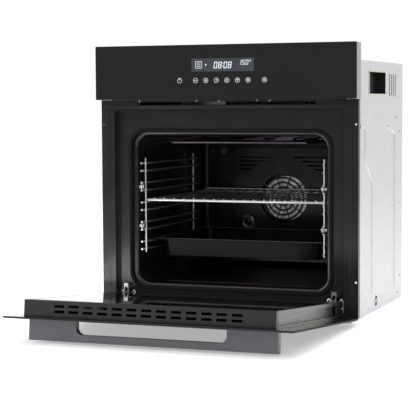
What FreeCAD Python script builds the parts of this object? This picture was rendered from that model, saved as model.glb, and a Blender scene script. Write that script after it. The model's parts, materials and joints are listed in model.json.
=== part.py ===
import FreeCAD, Part
import Sketcher
import math
import os
from FreeCAD import Placement, Rotation, Vector

# Built-in single oven, millimetres. X runs to the right, Y runs to the back and Z runs up.
# Y = 0 is the plane of the cabinet's front edge, Z = 0 is the underside of the base
# and X = 0 is the middle. The door stands open about five degrees short of level.

doc = FreeCAD.newDocument("wall_oven")
sheet = doc.addObject("Spreadsheet::Sheet", "d")
nodes = []


# ---- the sheet and the small makers that every sub-part uses ----

def sizes(**cells):
    """Adds one row for each driving size, with its alias."""
    for alias, value in cells.items():
        row = sizes.row
        sheet.set("A%d" % row, alias)
        sheet.set("B%d" % row, str(value))
        sheet.setAlias("B%d" % row, alias)
        sizes.row += 1
    sheet.recompute()


sizes.row = 1


def size(alias):
    return float(sheet.get(alias))


def bind(obj, **expressions):
    for prop, expression in expressions.items():
        obj.setExpression(prop.replace("__", "."), str(expression))


def block(name, x, y, z):
    """A box from three (low, high) pairs of expressions."""
    obj = doc.addObject("Part::Box", name)
    for prop, axis, (low, high) in (("Length", "x", x), ("Width", "y", y), ("Height", "z", z)):
        obj.setExpression(prop, "(%s)-(%s)" % (high, low))
        obj.setExpression("Placement.Base." + axis, str(low))
    return obj


def even(half):
    """The (low, high) pair of a width centred on X = 0."""
    return "-(%s)" % half, half


def span(side, near, far):
    """The (low, high) pair of a width on the right (side 1) or the left (side -1)."""
    return (near, far) if side > 0 else ("-(%s)" % far, "-(%s)" % near)


TURNS = {"X": Rotation(Vector(0, 1, 0), 90), "Y": Rotation(Vector(1, 0, 0), -90), "Z": Rotation()}


def rod(name, along, at, radius, length):
    """A cylinder along an axis, from its start point."""
    obj = doc.addObject("Part::Cylinder", name)
    obj.Placement = Placement(Vector(), TURNS[along])
    bind(obj, Radius=radius, Height=length)
    for axis, expression in zip("xyz", at):
        obj.setExpression("Placement.Base." + axis, str(expression))
    return obj


def ring(name, along, at, radius, wire):
    obj = doc.addObject("Part::Torus", name)
    obj.Placement = Placement(Vector(), TURNS[along])
    bind(obj, Radius1=radius, Radius2=wire)
    for axis, expression in zip("xyz", at):
        obj.setExpression("Placement.Base." + axis, str(expression))
    return obj


def join(name, shapes):
    obj = doc.addObject("Part::MultiFuse", name)
    obj.Shapes = shapes
    return obj


def group(name, shapes):
    obj = doc.addObject("Part::Compound", name)
    obj.Links = shapes
    return obj


def cut(name, base, tools):
    obj = doc.addObject("Part::Cut", name)
    obj.Base = base
    obj.Tool = tools[0] if len(tools) == 1 else group(name + "_tools", tools)
    return obj


def rounded(base, alias, wanted):
    """Rounds the edges of a solid that the test picks, by a radius of the sheet."""
    doc.recompute()
    radius = size(alias)
    obj = doc.addObject("Part::Fillet", base.Name + "_rounded")
    obj.Base = base
    obj.Edges = [(i + 1, radius, radius) for i, e in enumerate(base.Shape.Edges) if wanted(e)]
    return obj


def runs_along(axis):
    """A test for straight edges along one axis."""
    def test(edge):
        if edge.Curve.TypeId != "Part::GeomLine":
            return False
        return abs(getattr(edge.Curve.Direction, axis)) > 0.999
    return test


def lies_at(axis, low, high):
    """A test for edges that lie wholly between two values of one axis."""
    def test(edge):
        box = edge.BoundBox
        return getattr(box, axis + "Min") >= low - 0.01 and getattr(box, axis + "Max") <= high + 0.01
    return test


def plate(name, x, z, front, thickness, corner):
    """A flat panel with round corners, padded from a sketch in the XZ plane."""
    body = doc.addObject("PartDesign::Body", name)
    sketch = body.newObject("Sketcher::SketchObject", name + "_outline")
    upright = [f for f in body.Origin.OriginFeatures if f.Role == "XZ_Plane"][0]
    sketch.AttachmentSupport = (upright, [""])
    sketch.MapMode = "FlatFace"
    wide, tall, round_ = 200.0, 100.0, 5.0
    line, arc = Part.LineSegment, Part.ArcOfCircle
    up = Vector(0, 0, 1)
    corners = ((wide - round_, round_, -90), (wide - round_, tall - round_, 0),
               (round_, tall - round_, 90), (round_, round_, 180))
    ends = (((round_, 0), (wide - round_, 0)), ((wide, round_), (wide, tall - round_)),
            ((wide - round_, tall), (round_, tall)), ((0, tall - round_), (0, round_)))
    for start, end in ends:
        sketch.addGeometry(line(Vector(*start, 0), Vector(*end, 0)))
    for x_mid, y_mid, turn in corners:
        circle = Part.Circle(Vector(x_mid, y_mid, 0), up, round_)
        sketch.addGeometry(arc(circle, math.radians(turn), math.radians(turn + 90)))
    rules = []
    for side in range(4):
        rules.append(Sketcher.Constraint("Tangent", side, 2, 4 + side, 1))
        rules.append(Sketcher.Constraint("Tangent", 4 + side, 2, (side + 1) % 4, 1))
    rules += [Sketcher.Constraint("Horizontal", 0), Sketcher.Constraint("Vertical", 1),
              Sketcher.Constraint("Horizontal", 2), Sketcher.Constraint("Vertical", 3),
              Sketcher.Constraint("Equal", 4, 5), Sketcher.Constraint("Equal", 5, 6),
              Sketcher.Constraint("Equal", 6, 7),
              Sketcher.Constraint("PointOnObject", 0, 1, -1),
              Sketcher.Constraint("PointOnObject", 3, 1, -2)]
    sketch.addConstraint(rules)
    for label, kind, parts, value in (("radius", "Radius", (4,), round_),
                                      ("wide", "DistanceX", (3, 1, 1, 1), wide),
                                      ("tall", "DistanceY", (0, 1, 2, 1), tall)):
        number = sketch.addConstraint(Sketcher.Constraint(kind, *parts, value))
        sketch.renameConstraint(number, label)
    sketch.setExpression("Constraints.wide", "(%s)-(%s)" % (x[1], x[0]))
    sketch.setExpression("Constraints.tall", "(%s)-(%s)" % (z[1], z[0]))
    sketch.setExpression("Constraints.radius", corner)
    sketch.setExpression(".AttachmentOffset.Base.x", x[0])
    sketch.setExpression(".AttachmentOffset.Base.y", z[0])
    sketch.setExpression(".AttachmentOffset.Base.z", "-(%s)" % front)
    pad = body.newObject("PartDesign::Pad", name + "_pad")
    pad.Profile = sketch
    pad.Reversed = True
    pad.setExpression("Length", thickness)
    return body


def outline(name, along, low, high, points):
    """A solid pushed along an axis from a closed outline of (a, b) points, set by the sheet."""
    frames = {"X": lambda a, b: Vector(low, a, b), "Y": lambda a, b: Vector(a, low, b),
              "Z": lambda a, b: Vector(a, b, low)}
    wire = Part.makePolygon([frames[along](a, b) for a, b in points + points[:1]])
    push = {"X": Vector(1, 0, 0), "Y": Vector(0, 1, 0), "Z": Vector(0, 0, 1)}[along]
    obj = doc.addObject("Part::Feature", name)
    obj.Shape = Part.Face(wire).extrude(push * (high - low))
    return obj


def bent(points, radius, bend):
    """The shape of a round wire or tube along straight runs joined by tangent arcs."""
    stops = [Vector(*p) for p in points]
    edges, start = [], stops[0]
    for before, corner, after in zip(stops, stops[1:], stops[2:]):
        into, out = (corner - before).normalize(), (after - corner).normalize()
        turn = into.getAngle(out)
        reach = bend * math.tan(turn / 2)
        enter, leave = corner - into * reach, corner + out * reach
        to_middle = (out - into).normalize() * (bend / math.cos(turn / 2) - bend)
        edges.append(Part.LineSegment(start, enter).toShape())
        edges.append(Part.Arc(enter, corner + to_middle, leave).toShape())
        start = leave
    edges.append(Part.LineSegment(start, stops[-1]).toShape())
    wire = Part.Wire(edges)
    heading = (stops[1] - stops[0]).normalize()
    ring_wire = Part.Wire([Part.makeCircle(radius, stops[0], heading)])
    return wire.makePipeShell([ring_wire], True, False)


def wirework(name, shapes):
    """One welded piece made of several wires."""
    obj = doc.addObject("Part::Feature", name)
    obj.Shape = shapes[0].multiFuse(shapes[1:]) if len(shapes) > 1 else shapes[0]
    return obj


def node(obj, label):
    obj.Label = label
    nodes.append(obj)
    return obj


def sides():
    return (("left", -1), ("right", 1))


# ---- the sizes that everything else hangs on ----

sizes(front_half=297.5, front_out=39, glass=4, front_top=595, panel_low=477,
      body_half=277, body_back=461, body_top=560, sheet_metal=1, enamel=1.2,
      flange_out=14, frame_half=295.5, frame_low=14, recess_half=264, recess_top=458,
      recess_back=2, mouth_half=236, mouth_low=55.5, mouth_top=413, mouth_round=38)

# ---- control panel ----

sizes(glass_corner=3, bezel_wall=1.5, bezel_half=297, display_half=75, display_low=534,
      display_top=568, keys_half=112, keys_low=508, keys_top=528, housing_half=130,
      housing_low=484, board_thick=1.6, housing_back=14.3)
panel_back = "-(d.front_out-d.glass)"
node(plate("panel_glass", even("d.front_half"), ("d.panel_low", "d.front_top"),
           "-d.front_out", "d.glass", "d.glass_corner"), "panel_glass")
bezel_outer = block("bezel_outer", even("d.bezel_half"), (panel_back, "-0.2"),
                    ("d.panel_low+0.5", "d.front_top-0.5"))
bezel_inner = block("bezel_inner", even("d.bezel_half-d.bezel_wall"), (panel_back + "-1", "1"),
                    ("d.panel_low+0.5+d.bezel_wall", "d.front_top-0.5-d.bezel_wall"))
bezel_step = block("bezel_step", even("d.bezel_half-d.bezel_wall"),
                   ("-d.flange_out-0.2", "1"), ("d.panel_low", "d.panel_low+5"))
node(cut("panel_bezel", bezel_outer, [bezel_inner, bezel_step]), "panel_bezel")
node(block("display_module", even("d.display_half"), (panel_back, "-24"),
           ("d.display_low", "d.display_top")), "display_module")
node(block("touch_board", even("d.keys_half"), (panel_back, panel_back + "+d.board_thick"),
           ("d.keys_low", "d.keys_top")), "touch_board")
housing = block("housing_outer", even("d.housing_half"), (panel_back + "+d.board_thick", "-d.housing_back"),
                ("d.housing_low", "d.display_low"))
housing_room = block("housing_room", even("d.housing_half-2"),
                     (panel_back + "+d.board_thick+2", "0"), ("d.housing_low+2", "d.display_low-2"))
node(cut("control_housing", housing, [housing_room]), "control_housing")

# ---- front frame: one enamelled pressing with a turned edge, a recess and the oven's mouth ----

sizes(slot_half=202, slot_low=465.5, slot_top=472.5, hinge_across=241, hinge_slot_half=8,
      hinge_slot_low=20, hinge_slot_top=58, recess_round=10, lip_back=7.9, screw_across=290,
      screw_low=90, screw_top=423, screw_hole=2.25, ridge_near=277, ridge_far=282,
      ridge_low=60, ridge_high=466, ridge_rise=1, tail_half=270, tail_top=556)
tray = cut("frame_tray",
           block("frame_outer", even("d.frame_half"), ("-d.flange_out", "0"),
                 ("d.frame_low", "d.panel_low-0.2")),
           [block("frame_hollow", even("d.frame_half-d.enamel"), ("d.enamel-d.flange_out", "1"),
                  ("d.frame_low+d.enamel", "d.panel_low-0.2-d.enamel"))])
pan = rounded(block("pan_outer", even("d.recess_half+d.enamel"),
                    ("-d.flange_out+0.2", "d.recess_back+d.enamel"),
                    ("d.frame_low", "d.recess_top+d.enamel")), "recess_round",
              lambda e: runs_along("y")(e) and e.BoundBox.ZMin > 400)
pan_room = rounded(block("pan_inner", even("d.recess_half"), ("-d.flange_out-1", "d.recess_back"),
                         ("d.frame_low-30", "d.recess_top")), "recess_round",
                   lambda e: runs_along("y")(e) and e.BoundBox.ZMin > 400)
mouth = rounded(block("mouth_room", even("d.mouth_half"), ("-20", "20"),
                      ("d.mouth_low", "d.mouth_top")), "mouth_round", runs_along("y"))
lip = rounded(block("mouth_lip", even("d.mouth_half+d.enamel"), ("d.recess_back", "d.lip_back"),
                    ("d.mouth_low-d.enamel", "d.mouth_top+d.enamel")), "mouth_round", runs_along("y"))
tail = block("frame_tail", even("d.tail_half"), ("-d.flange_out", "d.enamel-d.flange_out"),
             ("d.panel_low-1", "d.tail_top"))
holes = [block("air_slot", even("d.slot_half"), ("-20", "-10"), ("d.slot_low", "d.slot_top"))]
ridges = [block("ridge_top", even("d.ridge_far"), ("-d.flange_out-d.ridge_rise", "-d.flange_out"),
                ("d.ridge_high-d.ridge_far+d.ridge_near", "d.ridge_high"))]
for hand, side in sides():
    holes.append(block("hinge_slot_" + hand,
                       span(side, "d.hinge_across-d.hinge_slot_half", "d.hinge_across+d.hinge_slot_half"),
                       ("-5", "9"), ("d.hinge_slot_low", "d.hinge_slot_top")))
    ridges.append(block("ridge_" + hand, span(side, "d.ridge_near", "d.ridge_far"),
                        ("-d.flange_out-d.ridge_rise", "-d.flange_out"),
                        ("d.ridge_low", "d.ridge_high-2")))
    for place in ("low", "top"):
        holes.append(rod("screw_hole_%s_%s" % (place, hand), "Y",
                         ("%d*d.screw_across" % side, "-20", "d.screw_" + place),
                         "d.screw_hole", "12"))
frame_solid = cut("frame_opened", join("frame_pressing", [tray, pan, lip, tail] + ridges),
                  [pan_room, mouth])
node(cut("front_frame", frame_solid, holes), "front_frame")

# ---- oven cavity: a round-cornered enamelled box, open at the front ----

sizes(cavity_half=218, cavity_low=70, cavity_top=398, cavity_front=8, cavity_back=424,
      cavity_round=28, cavity_rear_round=12, rim=12, rim_deep=10, rim_bend=9.8, flange_half=262,
      flange_low=44, flange_top=436, fan_high=236.5, fan_hole=12, lamp_across=88, lamp_high=179,
      lamp_hole=20.5)


def cavity_box(name, grow, front):
    box = block(name, even("d.cavity_half+%s" % grow), (front, "d.cavity_back+%s" % grow),
                ("d.cavity_low-%s" % grow, "d.cavity_top+%s" % grow))
    sided = rounded(box, "cavity_round", runs_along("y"))
    doc.recompute()
    back = size("cavity_back")
    return rounded(sided, "cavity_rear_round", lies_at("Y", back - 0.01, back + 2))


rim_block = rounded(block("rim_block", even("d.cavity_half+d.rim"),
                          ("d.cavity_front", "d.cavity_front+d.rim_deep"),
                          ("d.cavity_low-d.rim", "d.cavity_top+d.rim")), "mouth_round", runs_along("y"))
rim_hole = rounded(block("rim_hole", even("d.cavity_half"), ("0", "30"), ("d.cavity_low", "d.cavity_top")),
                   "cavity_round", runs_along("y"))
flange = block("cavity_flange", even("d.flange_half"), ("d.cavity_front", "d.cavity_front+d.enamel"),
               ("d.flange_low", "d.flange_top"))
shell_solid = join("cavity_solid",
                   [cavity_box("cavity_outer", "d.enamel", "d.cavity_front"), rim_block, flange])
rimmed = cut("cavity_rimmed", shell_solid, [rim_hole])
doc.recompute()
front_plane = size("cavity_front")


def mouth_edge(edge):
    box = edge.BoundBox
    inside = max(abs(box.XMin), abs(box.XMax)) <= size("cavity_half") + 0.01
    within = box.ZMin >= size("cavity_low") - 0.01 and box.ZMax <= size("cavity_top") + 0.01
    return lies_at("Y", front_plane, front_plane)(edge) and inside and within


bent_rim = rounded(rimmed, "rim_bend", mouth_edge)
hinge_gaps = [block("flange_gap_" + hand, span(side, "d.hinge_across-12", "d.hinge_across+12"),
                    ("0", "20"), ("d.flange_low-5", "d.hinge_slot_top+3")) for hand, side in sides()]
back_holes = [rod("fan_way", "Y", ("0", "d.cavity_back-5", "d.fan_high"), "d.fan_hole", "20"),
              rod("lamp_way", "Y", ("-d.lamp_across", "d.cavity_back-5", "d.lamp_high"), "d.lamp_hole", "20")]
cavity_room = cavity_box("cavity_room", "0", "d.cavity_front")
node(cut("oven_cavity", bent_rim, [cavity_room] + back_holes + hinge_gaps), "oven_cavity")

# ---- fan cover: a pressed panel in front of the fan, with a round grille and two sets of slots ----

sizes(cover_half=122.6, cover_front=389, cover_low=96, cover_top=360, cover_round=14,
      grille_slot=6.4, grille_step=11.5, grille_first=14, spoke=3.2, lamp_glass=18,
      vent_low=305.5, vent_step=9.8, vent_tall=4, vent_edge=112, vent_short=32, vent_longer=17.5)
cover_outer = rounded(block("cover_outer", even("d.cover_half"), ("d.cover_front", "d.cavity_back-0.1"),
                            ("d.cover_low", "d.cover_top")), "cover_round", runs_along("y"))
cover_room = rounded(block("cover_room", even("d.cover_half-d.enamel"),
                           ("d.cover_front+d.enamel", "d.cavity_back+5"),
                           ("d.cover_low+d.enamel", "d.cover_top-d.enamel")), "cover_round",
                     runs_along("y"))
GRILLE_RINGS = 5
SPOKES = 5
circles = []
for number in range(GRILLE_RINGS):
    start = "d.grille_first+%d*d.grille_step-d.grille_slot" % number
    hub = ("0", "d.cover_front-2", "d.fan_high")
    circles.append(cut("grille_ring_%d" % number,
                       rod("grille_out_%d" % number, "Y", hub, start + "+d.grille_slot", "6"),
                       [rod("grille_in_%d" % number, "Y", hub, start, "6")]))
bars = []
for number in range(SPOKES):
    bar = doc.addObject("Part::Box", "spoke_%d" % number)
    bind(bar, Length="150", Width="8", Height="d.spoke")
    turned = Rotation(Vector(0, 1, 0), 180.0 * number / SPOKES)
    middle = Vector(0, size("cover_front") - 3, size("fan_high"))
    bar.Placement = Placement(middle, turned).multiply(
        Placement(Vector(-75, 0, -size("spoke") / 2), Rotation()))
    bars.append(bar)
grille = cut("grille_slots", group("grille_circles", circles), bars)
vents = []
VENT_ROWS = 4
for hand, side in sides():
    for row in range(VENT_ROWS):
        vents.append(block("cover_vent_%s_%d" % (hand, row),
                           span(side, "d.vent_edge-d.vent_short-%d*d.vent_longer" % row, "d.vent_edge"),
                           ("d.cover_front-2", "d.cover_front+5"),
                           ("d.vent_low+%d*d.vent_step" % row,
                            "d.vent_low+%d*d.vent_step+d.vent_tall" % row)))
lamp_window = rod("lamp_window", "Y", ("-d.lamp_across", "d.cover_front-2", "d.lamp_high"),
                  "d.lamp_glass+1", "6")
node(cut("fan_cover", cover_outer, [cover_room, grille, lamp_window] + vents), "fan_cover")

# ---- convection fan, its motor and the ring element ----

sizes(fan_reach=54, fan_back=414, blade_root=20, blade_front=397, blade_thick=1.2, hub_reach=9,
      shaft_reach=4, shaft_end=470, bore_reach=4.05, motor_reach=32, motor_front=437.8,
      motor_back=473, motor_foot=48, ring_reach=70, element_reach=3.25, ring_front=397.5, ring_pitch=7.5)
BLADES = 12
hub_at = ("0", "d.blade_front-1", "d.fan_high")
fan_parts = [rod("fan_disc", "Y", ("0", "d.fan_back", "d.fan_high"), "d.fan_reach", "d.blade_thick"),
             rod("fan_hub", "Y", hub_at, "d.hub_reach", "d.fan_back-d.blade_front+2"),
             rod("fan_shaft", "Y", hub_at, "d.shaft_reach", "d.shaft_end-d.blade_front")]
for number in range(BLADES):
    blade = doc.addObject("Part::Box", "fan_blade_%d" % number)
    bind(blade, Length="d.fan_reach-d.blade_root", Width="d.fan_back-d.blade_front+0.5",
         Height="d.blade_thick")
    turned = Rotation(Vector(0, 1, 0), 360.0 * number / BLADES)
    middle = Vector(0, size("blade_front"), size("fan_high"))
    leaned = Placement(Vector(size("blade_root"), 0, 0), Rotation(Vector(0, 1, 0), 22))
    blade.Placement = Placement(middle, turned).multiply(leaned)
    fan_parts.append(blade)
swept = rod("fan_swept", "Y", ("0", "d.blade_front-8", "d.fan_high"), "d.fan_reach", "100")
fan = doc.addObject("Part::Common", "fan_trimmed")
fan.Base = join("fan_pieces", fan_parts)
fan.Tool = swept
node(fan, "convection_fan")
motor = join("motor_solid", [
    rod("motor_can", "Y", ("0", "d.motor_front", "d.fan_high"), "d.motor_reach",
        "d.motor_back-d.motor_front"),
    block("motor_plate", even("d.motor_foot"), ("d.motor_front-1.5", "d.motor_front"),
          ("d.fan_high-d.motor_foot", "d.fan_high+d.motor_foot"))])
node(cut("fan_motor", motor, [rod("motor_bore", "Y", ("0", "d.motor_front-5", "d.fan_high"),
                                  "d.bore_reach", "60")]), "fan_motor")
RING_TURNS = 3
coils = [ring("ring_coil_%d" % turn, "Y", ("0", "d.ring_front+%d*d.ring_pitch" % turn, "d.fan_high"),
              "d.ring_reach", "d.element_reach") for turn in range(RING_TURNS)]
links = [rod("ring_link_" + hand, "Y", ("%d*9" % side, "d.ring_front", "d.fan_high-d.ring_reach"),
             "d.element_reach", "d.cavity_back-0.2-d.ring_front") for hand, side in sides()]
node(join("ring_element", coils + links), "ring_element")

# ---- grill element under the ceiling and the floor element below the cavity ----

sizes(grill_high=382, grill_half=162, grill_front=60, grill_inner=98,
      grill_inner_front=112, grill_inner_rear=362, tube_bend=16, floor_high=63.2,
      grill_side=24, grill_ends=80, grill_inner_ends=32, foot_half=92, foot_thick=1.5, foot_tall=13,
      floor_half=150, floor_ends=60, floor_rear=372)
grill_z, tube = size("grill_high"), size("element_reach")
grill_end = size("cavity_back") - 1.7


def hairpin(half, front, rear, ends, high):
    return [(-ends, grill_end, high), (-ends, rear, high), (-half, rear, high), (-half, front, high),
            (half, front, high), (half, rear, high), (ends, rear, high), (ends, grill_end, high)]


bend = size("tube_bend")
outer_rear = size("grill_inner_rear") + size("grill_side")
outer_path = hairpin(size("grill_half"), size("grill_front"), outer_rear, size("grill_ends"), grill_z)
inner_path = hairpin(size("grill_inner"), size("grill_inner_front"), size("grill_inner_rear"),
                     size("grill_inner_ends"), grill_z)
foot_low = grill_z + tube - size("foot_tall")
foot = Part.makeBox(2 * size("foot_half"), size("foot_thick"), size("foot_tall"),
                    Vector(-size("foot_half"), grill_end, foot_low))
node(wirework("grill_element", [bent(outer_path, tube, bend), bent(inner_path, tube, bend), foot]),
     "grill_element")
floor_path = hairpin(size("floor_half"), size("grill_front") + 10, size("floor_rear"), size("floor_ends"),
                     size("floor_high"))
node(wirework("floor_element", [bent(floor_path, tube, bend)]), "floor_element")

# ---- oven lamp, at the left of the fan, and the temperature probe at the top left ----

sizes(lamp_back=452, socket_wall=1.4, socket_front=392, bulb_reach=8, bulb_front=401, bulb_long=34,
      pins_reach=4.5, dome_out=7, dome_round=26, dome_thick=2, dome_deep=9.9, probe_across=165,
      probe_high=352)


def on_lamp(along):
    """A point on the axis of the lamp."""
    return "-d.lamp_across", along, "d.lamp_high"


socket_ring = cut("socket", rod("socket_out", "Y", on_lamp("d.socket_front"), "d.lamp_glass+1.5",
                                "d.lamp_back-d.socket_front"),
                  [rod("socket_in", "Y", on_lamp("d.socket_front-1"), "d.lamp_glass+1.5-d.socket_wall",
                       "d.lamp_back-d.socket_front-1")])
node(socket_ring, "lamp_socket")
bulb = join("bulb_solid", [
    rod("bulb_glass", "Y", on_lamp("d.bulb_front"), "d.bulb_reach", "d.bulb_long"),
    rod("bulb_pins", "Y", on_lamp("d.bulb_front+d.bulb_long"), "d.pins_reach",
        "d.lamp_back-d.bulb_front-d.bulb_long-2")])
node(bulb, "lamp_bulb")
domes = []
for place, reach in (("outer", "d.dome_round"), ("inner", "d.dome_round-d.dome_thick")):
    dome = doc.addObject("Part::Sphere", "dome_" + place)
    bind(dome, Radius=reach, Placement__Base__x="-d.lamp_across",
         Placement__Base__y="d.cover_front+d.dome_round-d.dome_out", Placement__Base__z="d.lamp_high")
    domes.append(dome)
dome_keep = doc.addObject("Part::Common", "dome_keep")
dome_keep.Base = domes[0]
dome_keep.Tool = rod("dome_disc", "Y", on_lamp("d.cover_front-10"), "d.lamp_glass", "d.dome_deep+3")
node(cut("lamp_cover", dome_keep, domes[1:]), "lamp_cover")
probe = join("probe_solid", [
    rod("probe_rod", "Y", ("-d.probe_across", "340", "d.probe_high"), "2", "d.cavity_back-1-340"),
    rod("probe_foot", "Y", ("-d.probe_across", "d.cavity_back-2", "d.probe_high"), "8", "1.8")])
node(probe, "temperature_probe")

# ---- door seal in the frame's mouth, held against the cavity's flange ----

sizes(seal_wide=7, seal_out=1.2, seal_inner=228.4)
seal_outer = rounded(block("seal_outer", even("d.seal_inner+d.seal_wide"), ("-d.seal_out", "d.cavity_front"),
                           ("d.mouth_low+0.6", "d.mouth_top-0.6")), "mouth_round", runs_along("y"))
sizes(seal_round=31)
seal_room = rounded(block("seal_room", even("d.seal_inner"), ("-10", "20"),
                          ("d.mouth_low+0.6+d.seal_wide", "d.mouth_top-0.6-d.seal_wide")), "seal_round",
                    runs_along("y"))
node(cut("door_seal", seal_outer, [seal_room]), "door_seal")

# ---- side racks: two posts and five pairs of rungs on each wall, on two studs ----

sizes(rack_across=204.5, post_across=208.6, rack_wire=2.25, rack_front=30, rack_rear=322,
      rung_start=13, rung_end=336, level_low=160, level_step=44, pair_gap=17, post_low=136,
      post_top=347, rung_out=3, stud_reach=4.5, stud_along=18, stud_head=6, head_thick=2,
      stud_out=10, loop_reach=6.6, loop_wire=1.5, loop_across=211)
LEVELS = 5
wire, across, posts_at = size("rack_wire"), size("rack_across"), size("post_across")
stud_heights = [size("level_low") + level * size("level_step") - size("pair_gap") / 2 for level in (1, 3)]
for hand, side in sides():
    steel = []
    for place in ("rack_front", "rack_rear"):
        steel.append(Part.makeCylinder(wire, size("post_top") - size("post_low"),
                                       Vector(side * posts_at, size(place), size("post_low"))))
    for level in range(LEVELS):
        for drop in (0, size("pair_gap")):
            high = size("level_low") + level * size("level_step") - drop
            outside = posts_at + size("rung_out")
            steel.append(bent([(side * outside, size("rung_start"), high),
                               (side * outside, size("rack_front") + 8, high),
                               (side * across, size("rack_front") + 22, high),
                               (side * across, size("rung_end"), high)], wire, 12))
    for high in stud_heights:
        hook = Vector(side * size("loop_across"), size("stud_along"), high)
        steel.append(Part.makeTorus(size("loop_reach"), size("loop_wire"), hook, Vector(1, 0, 0)))
    node(wirework("rack_" + hand, steel), "side_rack_" + hand)
studs = []
for hand, side in sides():
    shank_end = span(side, "d.cavity_half-d.stud_out", "d.cavity_half")[0]
    head_end = span(side, "d.cavity_half-d.stud_out-d.head_thick", "d.cavity_half-d.stud_out")[0]
    for number, high in enumerate(stud_heights):
        shank = rod("shank_%s_%d" % (hand, number), "X", (shank_end, "d.stud_along", str(high)),
                    "d.stud_reach", "d.stud_out")
        head = rod("head_%s_%d" % (hand, number), "X", (head_end, "d.stud_along", str(high)),
                   "d.stud_head", "d.head_thick")
        studs.append(join("stud_%s_%d" % (hand, number), [shank, head]))
node(group("rack_studs", studs), "rack_studs")

# ---- wire shelf on the middle level ----

sizes(shelf_front=33, shelf_rear=374, rail_across=203, rail_wire=3, rail_clear=0.3, cross_wire=1.4,
      wire_pitch=23.5, fence_rise=7, fence_half=197, stop_along=91, stop_half=5, stop_across=199.3,
      stop_drop=11, stop_wire=1.5, wire_bite=0.5, shelf_level=2)
rail, fine = size("rail_wire"), size("cross_wire")
rung_high = size("level_low") + size("shelf_level") * size("level_step")
offset = across - size("rail_across")
rail_high = rung_high + math.sqrt((rail + wire) ** 2 - offset ** 2) + size("rail_clear")
top_high = rail_high + rail + fine - size("wire_bite")
fence_high = rail_high + size("fence_rise")
front, rear = size("shelf_front"), size("shelf_rear")
WIRES = 17
steel = []
for side in (-1, 1):
    rail_start = Vector(side * size("rail_across"), front - 2, rail_high)
    steel.append(Part.makeCylinder(rail, rear - front + 4, rail_start, Vector(0, 1, 0)))
    stop_at = side * size("stop_across")
    stop = [(stop_at, size("stop_along") - size("stop_half"), rail_high),
            (stop_at, size("stop_along"), rail_high - size("stop_drop")),
            (stop_at, size("stop_along") + size("stop_half"), rail_high)]
    steel.append(bent(stop, size("stop_wire"), 1.8))
for place in (front, rear):
    bar_start = Vector(-size("rail_across"), place, rail_high)
    steel.append(Part.makeCylinder(rail, 2 * size("rail_across"), bar_start, Vector(1, 0, 0)))
for number in range(WIRES):
    x = (number - WIRES // 2) * size("wire_pitch")
    steel.append(bent([(x, front - 1, top_high), (x, rear - 5, top_high), (x, rear + 1, fence_high)],
                      fine, 4))
fence_start = Vector(-size("fence_half"), rear + 1, fence_high)
steel.append(Part.makeCylinder(fine + 0.6, 2 * size("fence_half"), fence_start, Vector(1, 0, 0)))
node(wirework("shelf_wires", steel), "wire_shelf")

# ---- baking tray on the lowest level ----

sizes(tray_half=203.4, tray_front=58, tray_rear=372, tray_clear=0.3, tray_deep=38, tray_wall=1.2,
      tray_rim=13, tray_lean=5, tray_round=20)
rim_low = size("level_low") + wire + size("tray_clear")


def tray_loft(name, inset, low, high):
    """A round-cornered dish that narrows towards its bottom."""
    def ring_at(level, shrink):
        half = size("tray_half") - size("tray_rim") - inset - shrink
        start = size("tray_front") + size("tray_rim") + inset + shrink
        end = size("tray_rear") - size("tray_rim") - inset - shrink
        flat = Part.makePlane(2 * half, end - start, Vector(-half, start, level))
        slab = flat.extrude(Vector(0, 0, 1))
        soft = slab.makeFillet(size("tray_round"), [e for e in slab.Edges if runs_along("z")(e)])
        return [f for f in soft.Faces if abs(f.CenterOfMass.z - level) < 1e-6][0].OuterWire
    solid = Part.makeLoft([ring_at(low, size("tray_lean")), ring_at(high, 0)], True, True)
    obj = doc.addObject("Part::Feature", name)
    obj.Shape = solid
    return obj


rim_top = rim_low + size("tray_wall")
dish_low = rim_low - size("tray_deep")
dish = tray_loft("tray_dish", 0, dish_low, rim_top)
hollow = tray_loft("tray_hollow", size("tray_wall"), dish_low + size("tray_wall"), rim_top + 0.01)
sizes(tray_rim_low=rim_low, tray_rim_round=14)
brim = rounded(block("tray_brim", even("d.tray_half"), ("d.tray_front", "d.tray_rear"),
                     ("d.tray_rim_low", "d.tray_rim_low+d.tray_wall")), "tray_rim_round", runs_along("z"))
node(cut("tray_shell", join("tray_solid", [dish, brim]), [hollow]), "baking_tray")

# ---- casing: base, sides, top and back in galvanised sheet ----

sizes(lift_front=141, lift_back=292, lift_low=485, lift_top=539, lift_round=9, louvre_front=327,
      louvre_step=19, louvre_wide=7, louvre_low=482, louvre_top=535, louvre_round=3.4, base_turn=12,
      base_front=0.3, top_front=2, sheet_gap=0.1, turn_wide=9, turn_low=30, turn_drop=12,
      top_vent_step=20, top_vent_wide=8, top_vent_front=250, top_vent_back=330, back_vent_first=60,
      back_vent_step=16, back_vent_wide=8, back_vent_low=440, back_vent_top=520, bump_out=29,
      bump_reach=62)
skin_in = "d.body_half-d.sheet_metal"
skin_front = "-d.flange_out+d.enamel+d.sheet_gap"
skin_rear = "d.body_back-d.sheet_metal-d.sheet_gap"
base_solid = block("base_solid", even(skin_in + "-d.sheet_gap"), ("d.base_front", "d.body_back"),
                   ("0", "d.base_turn"))
base_room = block("base_room", even("d.body_half"),
                  ("d.base_front+d.sheet_metal", "d.body_back-d.sheet_metal"),
                  ("d.sheet_metal", "2*d.base_turn"))
node(cut("base_pan", base_solid, [base_room]), "base_panel")
LOUVRES = 4
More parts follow.
